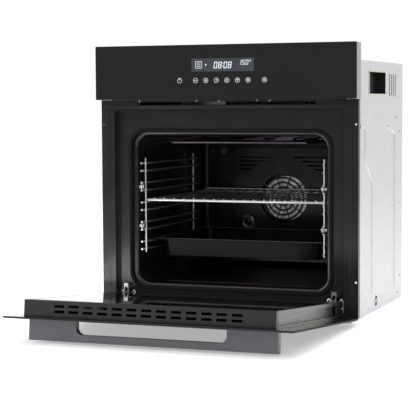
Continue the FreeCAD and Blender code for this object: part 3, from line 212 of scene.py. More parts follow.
def finish_piece(name, bm, material, body, slot, *stands_for):
    """Turns a bmesh into a piece that rides on a body."""
    data = bpy.data.meshes.new(name)
    bm.to_mesh(data)
    bm.free()
    data.materials.append(material)
    data.shade_smooth()
    data.set_sharp_from_angle(angle=math.radians(38))
    made = bpy.data.objects.new(name, data)
    scene.collection.objects.link(made)
    flats = made.modifiers.new("flat_faces_stay_flat", "WEIGHTED_NORMAL")
    flats.weight, flats.keep_sharp = 100, True
    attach(made, body)
    if stands_for:
        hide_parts(*stands_for)
    return made


def eased_nodes(material, width, *nodes, whole=True):
    """Copies of nodes with broken edges, each of which stands for its node."""
    for node in nodes:
        bm = shell_of(node)
        ease(bm, width, whole=whole)
        finish_piece(node + "_finished", bm, material, SOLID_BODY[node], NODE_SLOT[node], node)


black_enamel = enamel("black_vitreous_enamel", "#1b1b1d", "#222224", 5, 0.16)
eased_nodes(black_enamel, 0.4, "front_frame", whole=False)


def turned_head(bm, at, facing, radius, proud):
    """A pan-head screw: a domed button with a round recess, turned to face a way."""
    start = len(bm.verts)
    disc = bmesh.ops.create_circle(bm, cap_ends=True, segments=18, radius=radius * MM)
    face = disc["verts"][0].link_faces[0]
    for step_in, step_up in ((0.0, 0.45), (0.12, 0.3), (0.26, 0.25)):
        if step_in:
            bmesh.ops.inset_region(bm, faces=[face], thickness=step_in * radius * MM)
        lifted = bmesh.ops.extrude_discrete_faces(bm, faces=[face])["faces"]
        face = lifted[0]
        bmesh.ops.translate(bm, verts=face.verts, vec=(0, 0, step_up * proud * MM))
    bmesh.ops.inset_region(bm, faces=[face], thickness=0.12 * radius * MM)
    face = bmesh.ops.extrude_discrete_faces(bm, faces=[face])["faces"][0]
    bmesh.ops.translate(bm, verts=face.verts, vec=(0, 0, -0.6 * proud * MM))
    bm.verts.ensure_lookup_table()
    new = bm.verts[start:]
    turn = Vector(facing).to_track_quat("Z", "Y").to_matrix().to_4x4()
    bmesh.ops.transform(bm, matrix=Matrix.Translation(Vector(at) * MM) @ turn, verts=new)


# ---- Oven cavity and fan cover ----
# A welded steel muffle in pyrolytic ground-coat enamel, brown-black, glossy where it is drawn round
# and a little duller on the broad walls. The fan cover is a pressing in the same coat.

cavity_enamel = enamel("ground_coat_enamel", "#0e0b0b", "#171213", 3, 0.2)
eased_nodes(cavity_enamel, 0.35, "oven_cavity", whole=False)
eased_nodes(cavity_enamel, 0.55, "fan_cover")


def swept(points, radius, sides=4, closed=False, order=3):
    """A bmesh tube along a smooth line through points in millimetres."""
    line = bpy.data.curves.new("line", "CURVE")
    line.dimensions = "3D"
    line.bevel_depth, line.bevel_resolution, line.use_fill_caps = radius * MM, sides, not closed
    spline = line.splines.new("NURBS")
    spline.points.add(len(points) - 1)
    for point, at in zip(spline.points, points):
        point.co = (at[0] * MM, at[1] * MM, at[2] * MM, 1)
    spline.order_u = order
    spline.use_endpoint_u = not closed
    spline.use_cyclic_u = closed
    spline.resolution_u = 5
    carrier = bpy.data.objects.new("line", line)
    scene.collection.objects.link(carrier)
    bpy.context.view_layer.update()
    mesh = bpy.data.meshes.new_from_object(carrier.evaluated_get(bpy.context.evaluated_depsgraph_get()))
    bm = bmesh.new()
    bm.from_mesh(mesh)
    bpy.data.objects.remove(carrier)
    bpy.data.meshes.remove(mesh)
    bmesh.ops.remove_doubles(bm, verts=bm.verts, dist=0.01 * MM)
    bmesh.ops.recalc_face_normals(bm, faces=bm.faces)
    return bm


def round_loop(half, front, back, height, corner):
    """Points of a rounded rectangle lying level."""
    points = []
    corners = ((-half, front, 1, 1), (half, front, -1, 1), (half, back, -1, -1), (-half, back, 1, -1))
    for x, y, dx, dy in corners:
        near, far = (x, y + dy * corner, height), (x + dx * corner, y, height)
        points += [near, (x, y, height), far] if dx == dy else [far, (x, y, height), near]
    return points


def pressed(bm, axis, place, share):
    """Flattens a tube towards a plane, as a bead pressed in sheet."""
    for v in bm.verts:
        v.co[axis] = place * MM + (v.co[axis] - place * MM) * share


FLOOR_Z, BEAD_HALF, BEAD_FRONT, BEAD_BACK = 70, 176, 52, 384
floor_bead = swept(round_loop(BEAD_HALF, BEAD_FRONT, BEAD_BACK, FLOOR_Z, 34), 4.5, closed=True)
pressed(floor_bead, 2, FLOOR_Z, 0.35)
finish_piece("cavity_floor_bead", floor_bead, cavity_enamel, "oven", "black_enamel")

# ---- Elements ----
# Incoloy-sheathed heating rods: bright when new, they bake to a dull brown-grey with a violet tint
# where they run hottest.

sheath, tree, shader = new_material("oxidised_incoloy", Metallic=1.0)
way = add_node(tree, "ShaderNodeTexCoord")
bake = add_node(tree, "ShaderNodeTexNoise",
                {"Vector": way.outputs["Object"], "Scale": 1 / (28 * MM), "Detail": 3.0})
scale_grit = add_node(tree, "ShaderNodeTexNoise",
                      {"Vector": way.outputs["Object"], "Scale": 1 / (0.9 * MM), "Detail": 2.0})
tone = add_node(tree, "ShaderNodeMix",
                {0: bake.outputs["Fac"], 6: paint("#5d5450"), 7: paint("#7b7885")}, data_type="RGBA")
grit = add_node(tree, "ShaderNodeBump",
                {"Height": scale_grit.outputs["Fac"], "Strength": 0.25, "Distance": 0.1 * MM})
dull = add_node(tree, "ShaderNodeMapRange",
                {"Value": bake.outputs["Fac"], "To Min": 0.28, "To Max": 0.48})
tree.links.new(tone.outputs[2], shader.inputs["Base Color"])
tree.links.new(dull.outputs[0], shader.inputs["Roughness"])
tree.links.new(grit.outputs[0], shader.inputs["Normal"])
eased_nodes(sheath, 0.3, "grill_element", "floor_element", "ring_element", "temperature_probe")


# ---- Plated and coated steel: fan, motor plates, probe, hinges ----
# Pressed and turned steel parts, zinc plated and passivated: a cool bright grey with faint warm and
# blue clouds, and fine rolling marks from the strip they were cut from.

def metal(name, low, high, rough_low, rough_high, cloud_mm, grain_mm, stretch, depth=0.05):
    """Sheet or drawn metal: two close tones in clouds, and a grain drawn out along one axis."""
    material, tree, shader = new_material(name, Metallic=1.0)
    way = add_node(tree, "ShaderNodeTexCoord")
    cloud = add_node(tree, "ShaderNodeTexNoise",
                     {"Vector": way.outputs["Object"], "Scale": 1 / (cloud_mm * MM), "Detail": 3.0})
    drawn = add_node(tree, "ShaderNodeMapping", {"Vector": way.outputs["Object"], "Scale": stretch})
    grain = add_node(tree, "ShaderNodeTexNoise",
                     {"Vector": drawn.outputs[0], "Scale": 1 / (grain_mm * MM), "Detail": 4.0})
    tone = add_node(tree, "ShaderNodeMix",
                    {0: cloud.outputs["Fac"], 6: paint(low), 7: paint(high)}, data_type="RGBA")
    roughness = add_node(tree, "ShaderNodeMapRange",
                         {"Value": grain.outputs["Fac"], "From Min": 0.3, "From Max": 0.7,
                          "To Min": rough_low, "To Max": rough_high})
    line = add_node(tree, "ShaderNodeBump",
                    {"Height": grain.outputs["Fac"], "Strength": 0.3, "Distance": depth * MM})
    tree.links.new(tone.outputs[2], shader.inputs["Base Color"])
    tree.links.new(roughness.outputs[0], shader.inputs["Roughness"])
    tree.links.new(line.outputs[0], shader.inputs["Normal"])
    return material


zinc = metal("zinc_plated_steel", "#c4c3c0", "#dcdee2", 0.24, 0.4, 16, 1.2, (1, 0.15, 1))
eased_nodes(zinc, 0.3, "convection_fan", "lamp_socket", "rack_studs",
            "hinge_arm_left", "hinge_arm_right", "hinge_lock_left", "hinge_lock_right", "hinge_pins",
            "hinge_springs", "handle_screws", "blower_rotor")
eased_nodes(zinc, 0.3, "hinge_receiver_left", "hinge_receiver_right", "hinge_cassette_left",
            "hinge_cassette_right", whole=False)

# Each clip is an arch of flattened wire beside the hinge, with a thinner tie across its foot. A
# route's points are a distance out from the hinge's middle and a height.
HINGE_AT, CLIP_FACE, CLIP_WIRE, TIE_WIRE, CLIP_SHARE = 241, 1.0, 2.3, 1.9, 0.8
ARCH_ROUTE = ((18, 22), (18, 34), (18, 44), (13.5, 52), (9.5, 44), (9.5, 34), (9.5, 20))
TIE_ROUTE = ((20, 31), (14, 30), (9, 33))
for hand, side in (("left", -1), ("right", 1)):
    for part, way in (("inner", -side), ("outer", side)):
        x = side * HINGE_AT
        arch = swept([(x + way * out, CLIP_FACE, z) for out, z in ARCH_ROUTE], CLIP_WIRE)
        pressed(arch, 1, CLIP_FACE, CLIP_SHARE)
        finish_piece("hinge_clip_%s_%s" % (hand, part), arch, zinc, "oven", "zinc_steel")
        tie = swept([(x + way * out, CLIP_FACE, z) for out, z in TIE_ROUTE], TIE_WIRE)
        pressed(tie, 1, CLIP_FACE, CLIP_SHARE)
        finish_piece("hinge_tie_%s_%s" % (hand, part), tie, zinc, "oven", "zinc_steel")

slot_heads = bmesh.new()
for x in (-202, -67, -15, 72, 100):
    turned_head(slot_heads, (x, -15.2, 474.2), (0, -1, 0), 1.9, 1.0)
finish_piece("duct_screws", slot_heads, zinc, "oven", "zinc_steel")

# ---- Lamp ----
# A screwed-in halogen capsule behind a thick pressed borosilicate dome, held by a bright ring.

dome_glass, tree, shader = new_material("pressed_borosilicate", IOR=1.47, Transmission_Weight=1.0)
way = add_node(tree, "ShaderNodeTexCoord")
ripple = add_node(tree, "ShaderNodeTexNoise",
                  {"Vector": way.outputs["Object"], "Scale": 1 / (6 * MM), "Detail": 1.0})
tint = add_node(tree, "ShaderNodeMix",
                {0: ripple.outputs["Fac"], 6: paint("#9ea3a1"), 7: paint("#b4b8b6")}, data_type="RGBA")
roll = add_node(tree, "ShaderNodeBump",
                {"Height": ripple.outputs["Fac"], "Strength": 0.4, "Distance": 0.6 * MM})
film = add_node(tree, "ShaderNodeMapRange", {"Value": ripple.outputs["Fac"], "To Min": 0.02, "To Max": 0.14})
tree.links.new(tint.outputs[2], shader.inputs["Base Color"])
tree.links.new(roll.outputs[0], shader.inputs["Normal"])
tree.links.new(film.outputs[0], shader.inputs["Roughness"])
eased_nodes(dome_glass, 0.2, "lamp_bulb", "lamp_cover")

LAMP_AT, LAMP_RING, LAMP_WIRE = (-88, 384.5, 179), 13.4, 0.9
lamp_ring = bmesh.new()
bmesh.ops.create_circle(lamp_ring, cap_ends=False, segments=12, radius=LAMP_WIRE * MM)
bmesh.ops.rotate(lamp_ring, verts=lamp_ring.verts, matrix=Matrix.Rotation(math.radians(90), 3, "Z"))
bmesh.ops.translate(lamp_ring, verts=lamp_ring.verts, vec=(LAMP_RING * MM, 0, 0))
bmesh.ops.spin(lamp_ring, geom=lamp_ring.verts[:] + lamp_ring.edges[:], cent=(0, 0, 0), axis=(0, 1, 0),
               angle=math.tau, steps=48, use_merge=True)
bmesh.ops.translate(lamp_ring, verts=lamp_ring.verts, vec=Vector(LAMP_AT) * MM)
bmesh.ops.recalc_face_normals(lamp_ring, faces=lamp_ring.faces)
finish_piece("lamp_ring", lamp_ring, zinc, "oven", "zinc_steel")

# ---- Racks and shelf ----
# Drawn mild-steel wire, resistance welded at every crossing and then chrome plated: a hard mirror
# that picks up the white of the room, with a warm tint at the welds.

chrome = metal("chrome_plated_wire", "#bdbbb8", "#d2d3d6", 0.3, 0.42, 22, 1.0, (1, 1, 1), depth=0.03)
eased_nodes(chrome, 0.2, "side_rack_left", "side_rack_right", "wire_shelf")

# ---- Baking tray ----
# A pressed steel tray, rolled at the rim and dipped in smooth black enamel. The rolled rim is
# coloured a lighter grey than the tray: a painted highlight.

tray_enamel = enamel("tray_enamel", "#0a0a0b", "#111112", 4, 0.2, gloss=0.06)
eased_nodes(tray_enamel, 0.45, "baking_tray")
RIM_HALF, RIM_FRONT, RIM_BACK, RIM_HEIGHT, RIM_CORNER, RIM_WIRE = 200.4, 61.4, 368.6, 163.9, 12, 1.5
rim_loop = round_loop(RIM_HALF, RIM_FRONT, RIM_BACK, RIM_HEIGHT, RIM_CORNER)
rim_bead = swept(rim_loop, RIM_WIRE, closed=True)
# Painted highlight: the rim bead's enamel is a lighter grey than the tray's.
rim_painted_highlight_enamel = enamel("rim_enamel_painted_highlight", "#2c2c2e", "#3a3a3c", 4, 0.2, gloss=0.6)
finish_piece("tray_rim_bead", rim_bead, rim_painted_highlight_enamel, "tray", "black_enamel")

# ---- Light inside the oven ----
# The small card over the open door shines only on the pieces inside the oven, so the closed door's
# glass doesn't show it.

INSIDE = ("front_frame", "oven_cavity", "fan_cover", "side_rack_left", "side_rack_right", "wire_shelf",
          "baking_tray")
lit_inside = bpy.data.collections.new("lit_inside")
for node in INSIDE:
    lit_inside.objects.link(bpy.data.objects[node + "_finished"])
door_card.light_linking.receiver_collection = lit_inside

# ---- Door seal ----
# A braided glass-fibre tube over a steel wire core, clipped round the oven's mouth.

braid, tree, shader = new_material("glass_fibre_braid", Roughness=0.85, Specular_IOR_Level=0.2)
BRAID_PITCH = 3.2
way = add_node(tree, "ShaderNodeTexCoord")
strand_one = add_node(tree, "ShaderNodeTexWave",
                      {"Vector": way.outputs["Object"], "Scale": 0.5 / (BRAID_PITCH * MM),
                       "Distortion": 0.6, "Detail": 1.0}, bands_direction="DIAGONAL")
across = add_node(tree, "ShaderNodeMapping", {"Vector": way.outputs["Object"], "Scale": (-1, 1, 1)})
strand_two = add_node(tree, "ShaderNodeTexWave",
                      {"Vector": across.outputs[0], "Scale": 0.5 / (BRAID_PITCH * MM),
                       "Distortion": 0.6, "Detail": 1.0}, bands_direction="DIAGONAL")
weave = add_node(tree, "ShaderNodeMath", {0: strand_one.outputs["Fac"], 1: strand_two.outputs["Fac"]},
                 operation="MAXIMUM")
tone = add_node(tree, "ShaderNodeMix",
                {0: weave.outputs[0], 6: paint("#060607"), 7: paint("#121213")}, data_type="RGBA")
lift = add_node(tree, "ShaderNodeBump", {"Height": weave.outputs[0], "Strength": 0.6, "Distance": 0.5 * MM})
tree.links.new(tone.outputs[2], shader.inputs["Base Color"])
tree.links.new(lift.outputs[0], shader.inputs["Normal"])
eased_nodes(braid, 1.2, "door_seal")

# ---- Casing ----
# Folded hot-dip galvanised sheet, spot welded and screwed. The zinc freezes in broad crystals, so
# the light grey face is mottled in patches with one brightness each.

galvanised, tree, shader = new_material("galvanised_sheet", Metallic=1.0)
SPANGLE = 9
way = add_node(tree, "ShaderNodeTexCoord")
crystal = add_node(tree, "ShaderNodeTexVoronoi",
                   {"Vector": way.outputs["Object"], "Scale": 1 / (SPANGLE * MM)}, feature="F1")
split = add_node(tree, "ShaderNodeSeparateColor", {0: crystal.outputs["Color"]})
tone = add_node(tree, "ShaderNodeMix",
                {0: split.outputs[0], 6: paint("#c9cacc"), 7: paint("#cfd0d2")}, data_type="RGBA")
dull = add_node(tree, "ShaderNodeMapRange", {"Value": split.outputs[1], "To Min": 0.36, "To Max": 0.42})
pore = add_node(tree, "ShaderNodeTexNoise", {"Vector": way.outputs["Object"], "Scale": 1 / (0.8 * MM)})
skin_bump = add_node(tree, "ShaderNodeBump",
                     {"Height": pore.outputs["Fac"], "Strength": 0.08, "Distance": 0.02 * MM})
tree.links.new(tone.outputs[2], shader.inputs["Base Color"])
tree.links.new(dull.outputs[0], shader.inputs["Roughness"])
tree.links.new(skin_bump.outputs[0], shader.inputs["Normal"])
eased_nodes(galvanised, 0.3, "base_panel", "side_panel_left", "side_panel_right", "top_panel",
            "back_panel", whole=False)
# Painted shade: the air duct and blower housing, galvanised like the casing, are coloured a dark grey so that
# the slot above the door looks dark inside.
duct_metal_painted_shade = metal("duct_sheet_painted_shade", "#2f3336", "#3a3f42", 0.5, 0.62, 30, 2, (0.2, 1, 1), depth=0.02)
eased_nodes(duct_metal_painted_shade, 0.3, "air_duct", "blower_housing", whole=False)

BODY_HALF, RIB_WIDE, RIB_SHARE = 277, 5.5, 0.36
RIB_ROUTES = (
    ((71, 417), (100, 417), (114, 417), (114, 400), (114, 352), (114, 340), (122, 333), (163, 304),
     (174, 297), (174, 284), (174, 60), (174, 44)),
    ((318, 414), (340, 409), (372, 403), (387, 400), (387, 388), (387, 60), (387, 36)),
)
FOOT_AT, FOOT_RING, FOOT_BEAD = (210, 22), 9, 2.6
for hand, side in (("left", -1), ("right", 1)):
    for number, route in enumerate(RIB_ROUTES):
        rib = swept([(side * BODY_HALF, y, z) for y, z in route], RIB_WIDE)
        pressed(rib, 0, side * BODY_HALF, RIB_SHARE)
        finish_piece("side_rib_%s_%d" % (hand, number), rib, galvanised, "oven", "galvanised")
    foot = bmesh.new()
    bmesh.ops.create_circle(foot, cap_ends=False, segments=12, radius=FOOT_BEAD * MM)
    bmesh.ops.rotate(foot, verts=foot.verts, matrix=Matrix.Rotation(math.radians(90), 3, "Y"))
    bmesh.ops.rotate(foot, verts=foot.verts, matrix=Matrix.Rotation(math.radians(90), 3, "Z"))
    bmesh.ops.translate(foot, verts=foot.verts, vec=(0, 0, FOOT_RING * MM))
    bmesh.ops.rotate(foot, verts=foot.verts, matrix=Matrix.Rotation(math.radians(90), 3, "Z"))
    bmesh.ops.spin(foot, geom=foot.verts[:] + foot.edges[:], cent=(0, 0, 0), axis=(1, 0, 0),
                   angle=math.tau, steps=40, use_merge=True)
    bmesh.ops.translate(foot, verts=foot.verts, vec=(side * BODY_HALF * MM, FOOT_AT[0] * MM, FOOT_AT[1] * MM))
    pressed(foot, 0, side * BODY_HALF, RIB_SHARE)
    bmesh.ops.recalc_face_normals(foot, faces=foot.faces)
    finish_piece("foot_press_" + hand, foot, galvanised, "oven", "galvanised")

screw_heads = bmesh.new()
for side in (-1, 1):
    for y, z in ((12, 548), (418, 543), (422, 480), (401, 434), (427, 400), (435, 228), (438, 54), (413, 16)):
        turned_head(screw_heads, (side * BODY_HALF, y, z), (side, 0, 0), 3, 1.8)
for x in (-262, 262):
    for y in (104, 215, 384):
        turned_head(screw_heads, (x, y, 560), (0, 0, 1), 3, 1.8)
for x in (-265, 265):
    for z in (40, 280, 530):
        turned_head(screw_heads, (x, 461, z), (0, 1, 0), 3, 1.8)
finish_piece("casing_screw_heads", screw_heads, zinc, "oven", "zinc_steel", "casing_screws")


# ---- Moulded parts ----
# Injection-moulded heat-resistant plastics: a fine spark-eroded grain all over, a little duller in
# the grain's low spots. The lifting cups and the mains parts are a warm light grey.

def moulded(name, low, high, rough, grain_mm, depth=0.08):
    """Moulded plastic: a fine matt grain over a barely clouded colour."""
    material, tree, shader = new_material(name, IOR=1.5)
    way = add_node(tree, "ShaderNodeTexCoord")
    cloud = add_node(tree, "ShaderNodeTexNoise",
                     {"Vector": way.outputs["Object"], "Scale": 1 / (30 * MM), "Detail": 2.0})
    grain = add_node(tree, "ShaderNodeTexNoise",
                     {"Vector": way.outputs["Object"], "Scale": 1 / (grain_mm * MM), "Detail": 3.0})
    tone = add_node(tree, "ShaderNodeMix",
                    {0: cloud.outputs["Fac"], 6: paint(low), 7: paint(high)}, data_type="RGBA")
    dull = add_node(tree, "ShaderNodeMapRange",
                    {"Value": grain.outputs["Fac"], "From Min": 0.3, "From Max": 0.7,
                     "To Min": rough * 0.85, "To Max": rough * 1.2})
    pit = add_node(tree, "ShaderNodeBump",
                   {"Height": grain.outputs["Fac"], "Strength": 0.3, "Distance": depth * MM})
    tree.links.new(tone.outputs[2], shader.inputs["Base Color"])
    tree.links.new(dull.outputs[0], shader.inputs["Roughness"])
    tree.links.new(pit.outputs[0], shader.inputs["Normal"])
    return material


warm_plastic = moulded("grained_grey_polyamide", "#c3beb1", "#cdc8bc", 0.5, 0.8)
black_plastic = moulded("grained_black_polyester", "#131314", "#1a1a1c", 0.34, 0.8)
eased_nodes(warm_plastic, 0.5, "terminal_block", "cord_gland")
CUP_FLANGE = 1.2
for side in ("left", "right"):
    bm = shell_of("lift_cup_" + side)
    ease(bm, 0.3)
    cup = finish_piece("lift_cup_%s_finished" % side, bm, warm_plastic, "oven", "grey_plastic",
                       "lift_cup_" + side)
    # Painted shade: the cup's faces deeper than its flange, down in the hollow, take the black plastic.
    cup.data.materials.append(black_plastic)
    for face in cup.data.polygons:
        if abs(face.center.x) < (BODY_HALF - CUP_FLANGE) * MM:
            face.material_index = 1
eased_nodes(black_plastic, 0.5, "control_housing", "door_corner_left", "door_corner_right")
eased_nodes(black_plastic, 0.35, "door_top_profile")

# ---- Motors ----
# Stacks of varnished electrical-steel laminations, seen edge-on as fine dark lines.

laminations, tree, shader = new_material("varnished_laminations", Metallic=0.8)
LAMINATION = 1.6  # real sheets are 0.5 mm, drawn coarser so that they show
WAVE_BANDS = 3.2  # bands that the wave texture draws in one unit at a scale of 1
way = add_node(tree, "ShaderNodeTexCoord")
sheets = add_node(tree, "ShaderNodeTexWave",
                  {"Vector": way.outputs["Object"], "Scale": 1 / (LAMINATION * MM) / WAVE_BANDS,
                   "Distortion": 0.2},
                  bands_direction="Y")
rust = add_node(tree, "ShaderNodeTexNoise", {"Vector": way.outputs["Object"], "Scale": 1 / (12 * MM)})
tone = add_node(tree, "ShaderNodeMix",
                {0: rust.outputs["Fac"], 6: paint("#3c3c3e"), 7: paint("#55514d")}, data_type="RGBA")
edge = add_node(tree, "ShaderNodeBump",
                {"Height": sheets.outputs["Fac"], "Strength": 0.6, "Distance": 0.2 * MM})
dull = add_node(tree, "ShaderNodeMapRange", {"Value": rust.outputs["Fac"], "To Min": 0.35, "To Max": 0.6})
tree.links.new(tone.outputs[2], shader.inputs["Base Color"])
tree.links.new(edge.outputs[0], shader.inputs["Normal"])
tree.links.new(dull.outputs[0], shader.inputs["Roughness"])
eased_nodes(laminations, 0.6, "fan_motor", "blower_motor")

# ---- Insulation ----
# A blanket of resin-bonded glass wool wrapped round the muffle: yellowish, fibrous and lumpy.

wool, tree, shader = new_material("glass_wool", Roughness=0.95, Sheen_Weight=0.5, Sheen_Roughness=0.6)
way = add_node(tree, "ShaderNodeTexCoord")
drawn = add_node(tree, "ShaderNodeMapping", {"Vector": way.outputs["Object"], "Scale": (1, 1, 3)})
fibre = add_node(tree, "ShaderNodeTexNoise",
                 {"Vector": drawn.outputs[0], "Scale": 1 / (5 * MM), "Detail": 6.0, "Distortion": 1.5})
tone = add_node(tree, "ShaderNodeMix",
                {0: fibre.outputs["Fac"], 6: paint("#a8935a"), 7: paint("#e6dba8")}, data_type="RGBA")
loft = add_node(tree, "ShaderNodeBump", {"Height": fibre.outputs["Fac"], "Strength": 0.8, "Distance": 2 * MM})
tree.links.new(tone.outputs[2], shader.inputs["Base Color"])
tree.links.new(loft.outputs[0], shader.inputs["Normal"])
WOOL_CUTS, WOOL_EDGE, LOFT, LUMP = 3, 24, 1.2, 40
blanket = shell_of("insulation_blanket")
bmesh.ops.triangulate(blanket, faces=blanket.faces)
for cut in range(WOOL_CUTS):
    long_edges = [e for e in blanket.edges if e.calc_length() > WOOL_EDGE * MM]
    bmesh.ops.subdivide_edges(blanket, edges=long_edges, cuts=1, use_grid_fill=True)
bmesh.ops.triangulate(blanket, faces=blanket.faces)
for v in blanket.verts:
    v.co += v.normal * noise.noise(v.co / (LUMP * MM)) * LOFT * MM
finish_piece("insulation_wool", blanket, wool, "oven", "mineral_wool", "insulation_blanket")

# ---- Control panel ----
# One piece of toughened glass, printed black on its back, bonded in a folded steel bezel. A lit
# display and eight touch keys show through clear patches in the print.


def printed_glass(name, deep, pale, film_low, film_high):
    """Black-printed float glass: a mirror-flat face with a faint wiped film on it."""
    material, tree, shader = new_material(name, IOR=1.52)
    way = add_node(tree, "ShaderNodeTexCoord")
    drawn = add_node(tree, "ShaderNodeMapping", {"Vector": way.outputs["Object"], "Scale": (0.4, 1, 1.4)})
    wipe = add_node(tree, "ShaderNodeTexNoise",
                    {"Vector": drawn.outputs[0], "Scale": 1 / (70 * MM), "Detail": 5.0, "Distortion": 0.4})
    tone = add_node(tree, "ShaderNodeMix",
                    {0: wipe.outputs["Fac"], 6: paint(deep), 7: paint(pale)}, data_type="RGBA")
    film = add_node(tree, "ShaderNodeMapRange",
                    {"Value": wipe.outputs["Fac"], "From Min": 0.35, "From Max": 0.7,
                     "To Min": film_low, "To Max": film_high})
    tree.links.new(tone.outputs[2], shader.inputs["Base Color"])
    tree.links.new(film.outputs[0], shader.inputs["Roughness"])
    return material


black_glass = printed_glass("black_printed_glass", "#151617", "#1b1c1c", 0.02, 0.05)
ground_edge = moulded("ground_glass_edge", "#0b0b0c", "#101011", 0.6, 0.4, depth=0.03)
ground_edge.node_tree.nodes["Principled BSDF"].inputs["Specular IOR Level"].default_value = 0.15
for node, body in (("panel_glass", "oven"), ("door_glass_outer", "door")):
    bm = shell_of(node)
    ease(bm, 0.7)
    sheet_glass = finish_piece(node + "_finished", bm, black_glass, body, "black_glass", node)
    sheet_glass.data.materials.append(ground_edge)
    for face in sheet_glass.data.polygons:
        if abs(face.normal.x) > 0.5:
            face.material_index = 1
bezel_steel = metal("folded_stainless", "#8e8f91", "#a7a8aa", 0.28, 0.4, 40, 1.0, (0.06, 1, 1))
eased_nodes(bezel_steel, 0.3, "panel_bezel")

board, tree, shader = new_material("solder_masked_board", Roughness=0.35)
way = add_node(tree, "ShaderNodeTexCoord")
traces = add_node(tree, "ShaderNodeTexBrick",
                  {"Vector": way.outputs["Object"], "Color1": paint("#123d2a"), "Color2": paint("#17492f"),
                   "Mortar": paint("#2b6b45"), "Scale": 1 / (9 * MM), "Mortar Size": 0.03})
tree.links.new(traces.outputs["Color"], shader.inputs["Base Color"])
eased_nodes(board, 0.2, "touch_board")
lens, tree, shader = new_material("smoked_display_lens", IOR=1.5)
way = add_node(tree, "ShaderNodeTexCoord")
haze = add_node(tree, "ShaderNodeTexNoise", {"Vector": way.outputs["Object"], "Scale": 1 / (50 * MM)})
tone = add_node(tree, "ShaderNodeMix",
                {0: haze.outputs["Fac"], 6: paint("#303236"), 7: paint("#4a4d52")}, data_type="RGBA")
gloss = add_node(tree, "ShaderNodeMapRange", {"Value": haze.outputs["Fac"], "To Min": 0.08, "To Max": 0.2})
tree.links.new(tone.outputs[2], shader.inputs["Base Color"])
tree.links.new(gloss.outputs[0], shader.inputs["Roughness"])
eased_nodes(lens, 0.6, "display_module")


def slab(bm, low, high, sheared=0.0, about=0.0):
    """A block between two corners in millimetres; sheared leans it to the right as it rises."""
    start = len(bm.verts)
    bmesh.ops.create_cube(bm, size=1.0)
    bm.verts.ensure_lookup_table()
    new = bm.verts[start:]
    span = Vector(high) - Vector(low)
    bmesh.ops.scale(bm, verts=new, vec=span * MM)
    bmesh.ops.translate(bm, verts=new, vec=(Vector(low) + Vector(high)) / 2 * MM)
    for v in new:
        v.co.x += (v.co.z - about * MM) * sheared
    return new


def printed_ring(bm, x, z, outer, inner, front, back, share=1.0):
    """A flat ring lying in the panel's face."""
    start = len(bm.verts)
    rims = [bmesh.ops.create_circle(bm, cap_ends=False, segments=28, radius=r * MM)["verts"]
            for r in (outer, inner)]
    edges = list({e for rim in rims for v in rim for e in v.link_edges})
    faces = bmesh.ops.bridge_loops(bm, edges=edges)["faces"]
    raised = bmesh.ops.extrude_face_region(bm, geom=faces)["geom"]
    bmesh.ops.translate(bm, verts=[g for g in raised if isinstance(g, bmesh.types.BMVert)],
                        vec=(0, 0, (back - front) * MM))
    bm.verts.ensure_lookup_table()
    new = bm.verts[start:]
    bmesh.ops.rotate(bm, verts=new, cent=(0, 0, 0), matrix=Matrix.Rotation(math.radians(90), 3, "X"))
    bmesh.ops.translate(bm, verts=new, vec=(x * MM, back * MM, z * MM))


PANEL_FACE = -39.0
PRINT_BACK, WINDOW_FACE, PRINT_FACE = PANEL_FACE + 0.3, PANEL_FACE - 0.06, PANEL_FACE - 0.14
window = bmesh.new()
slab(window, (-69, WINDOW_FACE, 537), (73, PRINT_BACK, 565))
ease(window, 0.05)
finish_piece("display_window", window, lens, "oven", "display")

lit, tree, shader = new_material("lit_display_segment", Roughness=0.3)
way = add_node(tree, "ShaderNodeTexCoord")
drift = add_node(tree, "ShaderNodeTexNoise", {"Vector": way.outputs["Object"], "Scale": 1 / (14 * MM)})
tone = add_node(tree, "ShaderNodeMix",
                {0: drift.outputs["Fac"], 6: paint("#cfd9e2"), 7: paint("#f2f6fa")}, data_type="RGBA")
tree.links.new(tone.outputs[2], shader.inputs["Base Color"])
tree.links.new(tone.outputs[2], shader.inputs["Emission Color"])
shader.inputs["Emission Strength"].default_value = 0.3

SEGMENTS = {"0": "abcdef", "1": "bc", "5": "afgcd", "8": "abcdefg"}


def digit(bm, figure, x, z, wide, tall, line, lean):
    """One seven-segment figure, its lower left corner at x, z."""
    half, gap = tall / 2, line * 0.25
    bars = {"a": (gap, tall - line, wide - gap, tall),
            "g": (gap, half - line / 2, wide - gap, half + line / 2),
            "d": (gap, 0, wide - gap, line), "f": (0, half + gap, line, tall - gap),
            "b": (wide - line, half + gap, wide, tall - gap), "e": (0, gap, line, half - gap),
            "c": (wide - line, gap, wide, half - gap)}
    for name in SEGMENTS[figure]:
        x0, z0, x1, z1 = bars[name]
        slab(bm, (x + x0, PRINT_FACE, z + z0), (x + x1, PRINT_BACK, z + z1), lean, z)


LEAN = 0.16
figures = bmesh.new()
for figure, x in (("0", -18.5), ("8", -8.5), ("0", 4.0), ("8", 14.0)):
    digit(figures, figure, x, 543.5, 7.4, 14, 1.5, LEAN)
for z in (547.5, 553.5):
    slab(figures, (0.9, PRINT_FACE, z), (2.5, PRINT_BACK, z + 1.6), LEAN, 543.5)
for figure, x in (("1", 38.0), ("5", 46.0), ("0", 54.0)):
    digit(figures, figure, x, 550.5, 5.8, 10, 1.1, LEAN)
printed_ring(figures, 65.0, 559.0, 1.6, 0.9, PRINT_FACE, PRINT_BACK)
finish_piece("display_figures", figures, lit, "oven", "display")

symbols = bmesh.new()
for low, high in (((-60, 544), (-59.2, 559)), ((-45.8, 544), (-45, 559)), ((-60, 558.2), (-45, 559)),
                  ((-60, 544), (-45, 544.8)), ((-57, 547.2), (-48, 548)), ((-57, 551.1), (-48, 551.9)),
                  ((-57, 555), (-48, 555.8)), ((-38, 550.5), (-34.5, 551.7)), ((-36.8, 549), (-35.6, 553.5))):
    slab(symbols, (low[0], PRINT_FACE, low[1]), (high[0], PRINT_BACK, high[1]))
finish_piece("display_symbols", symbols, lit, "oven", "display")

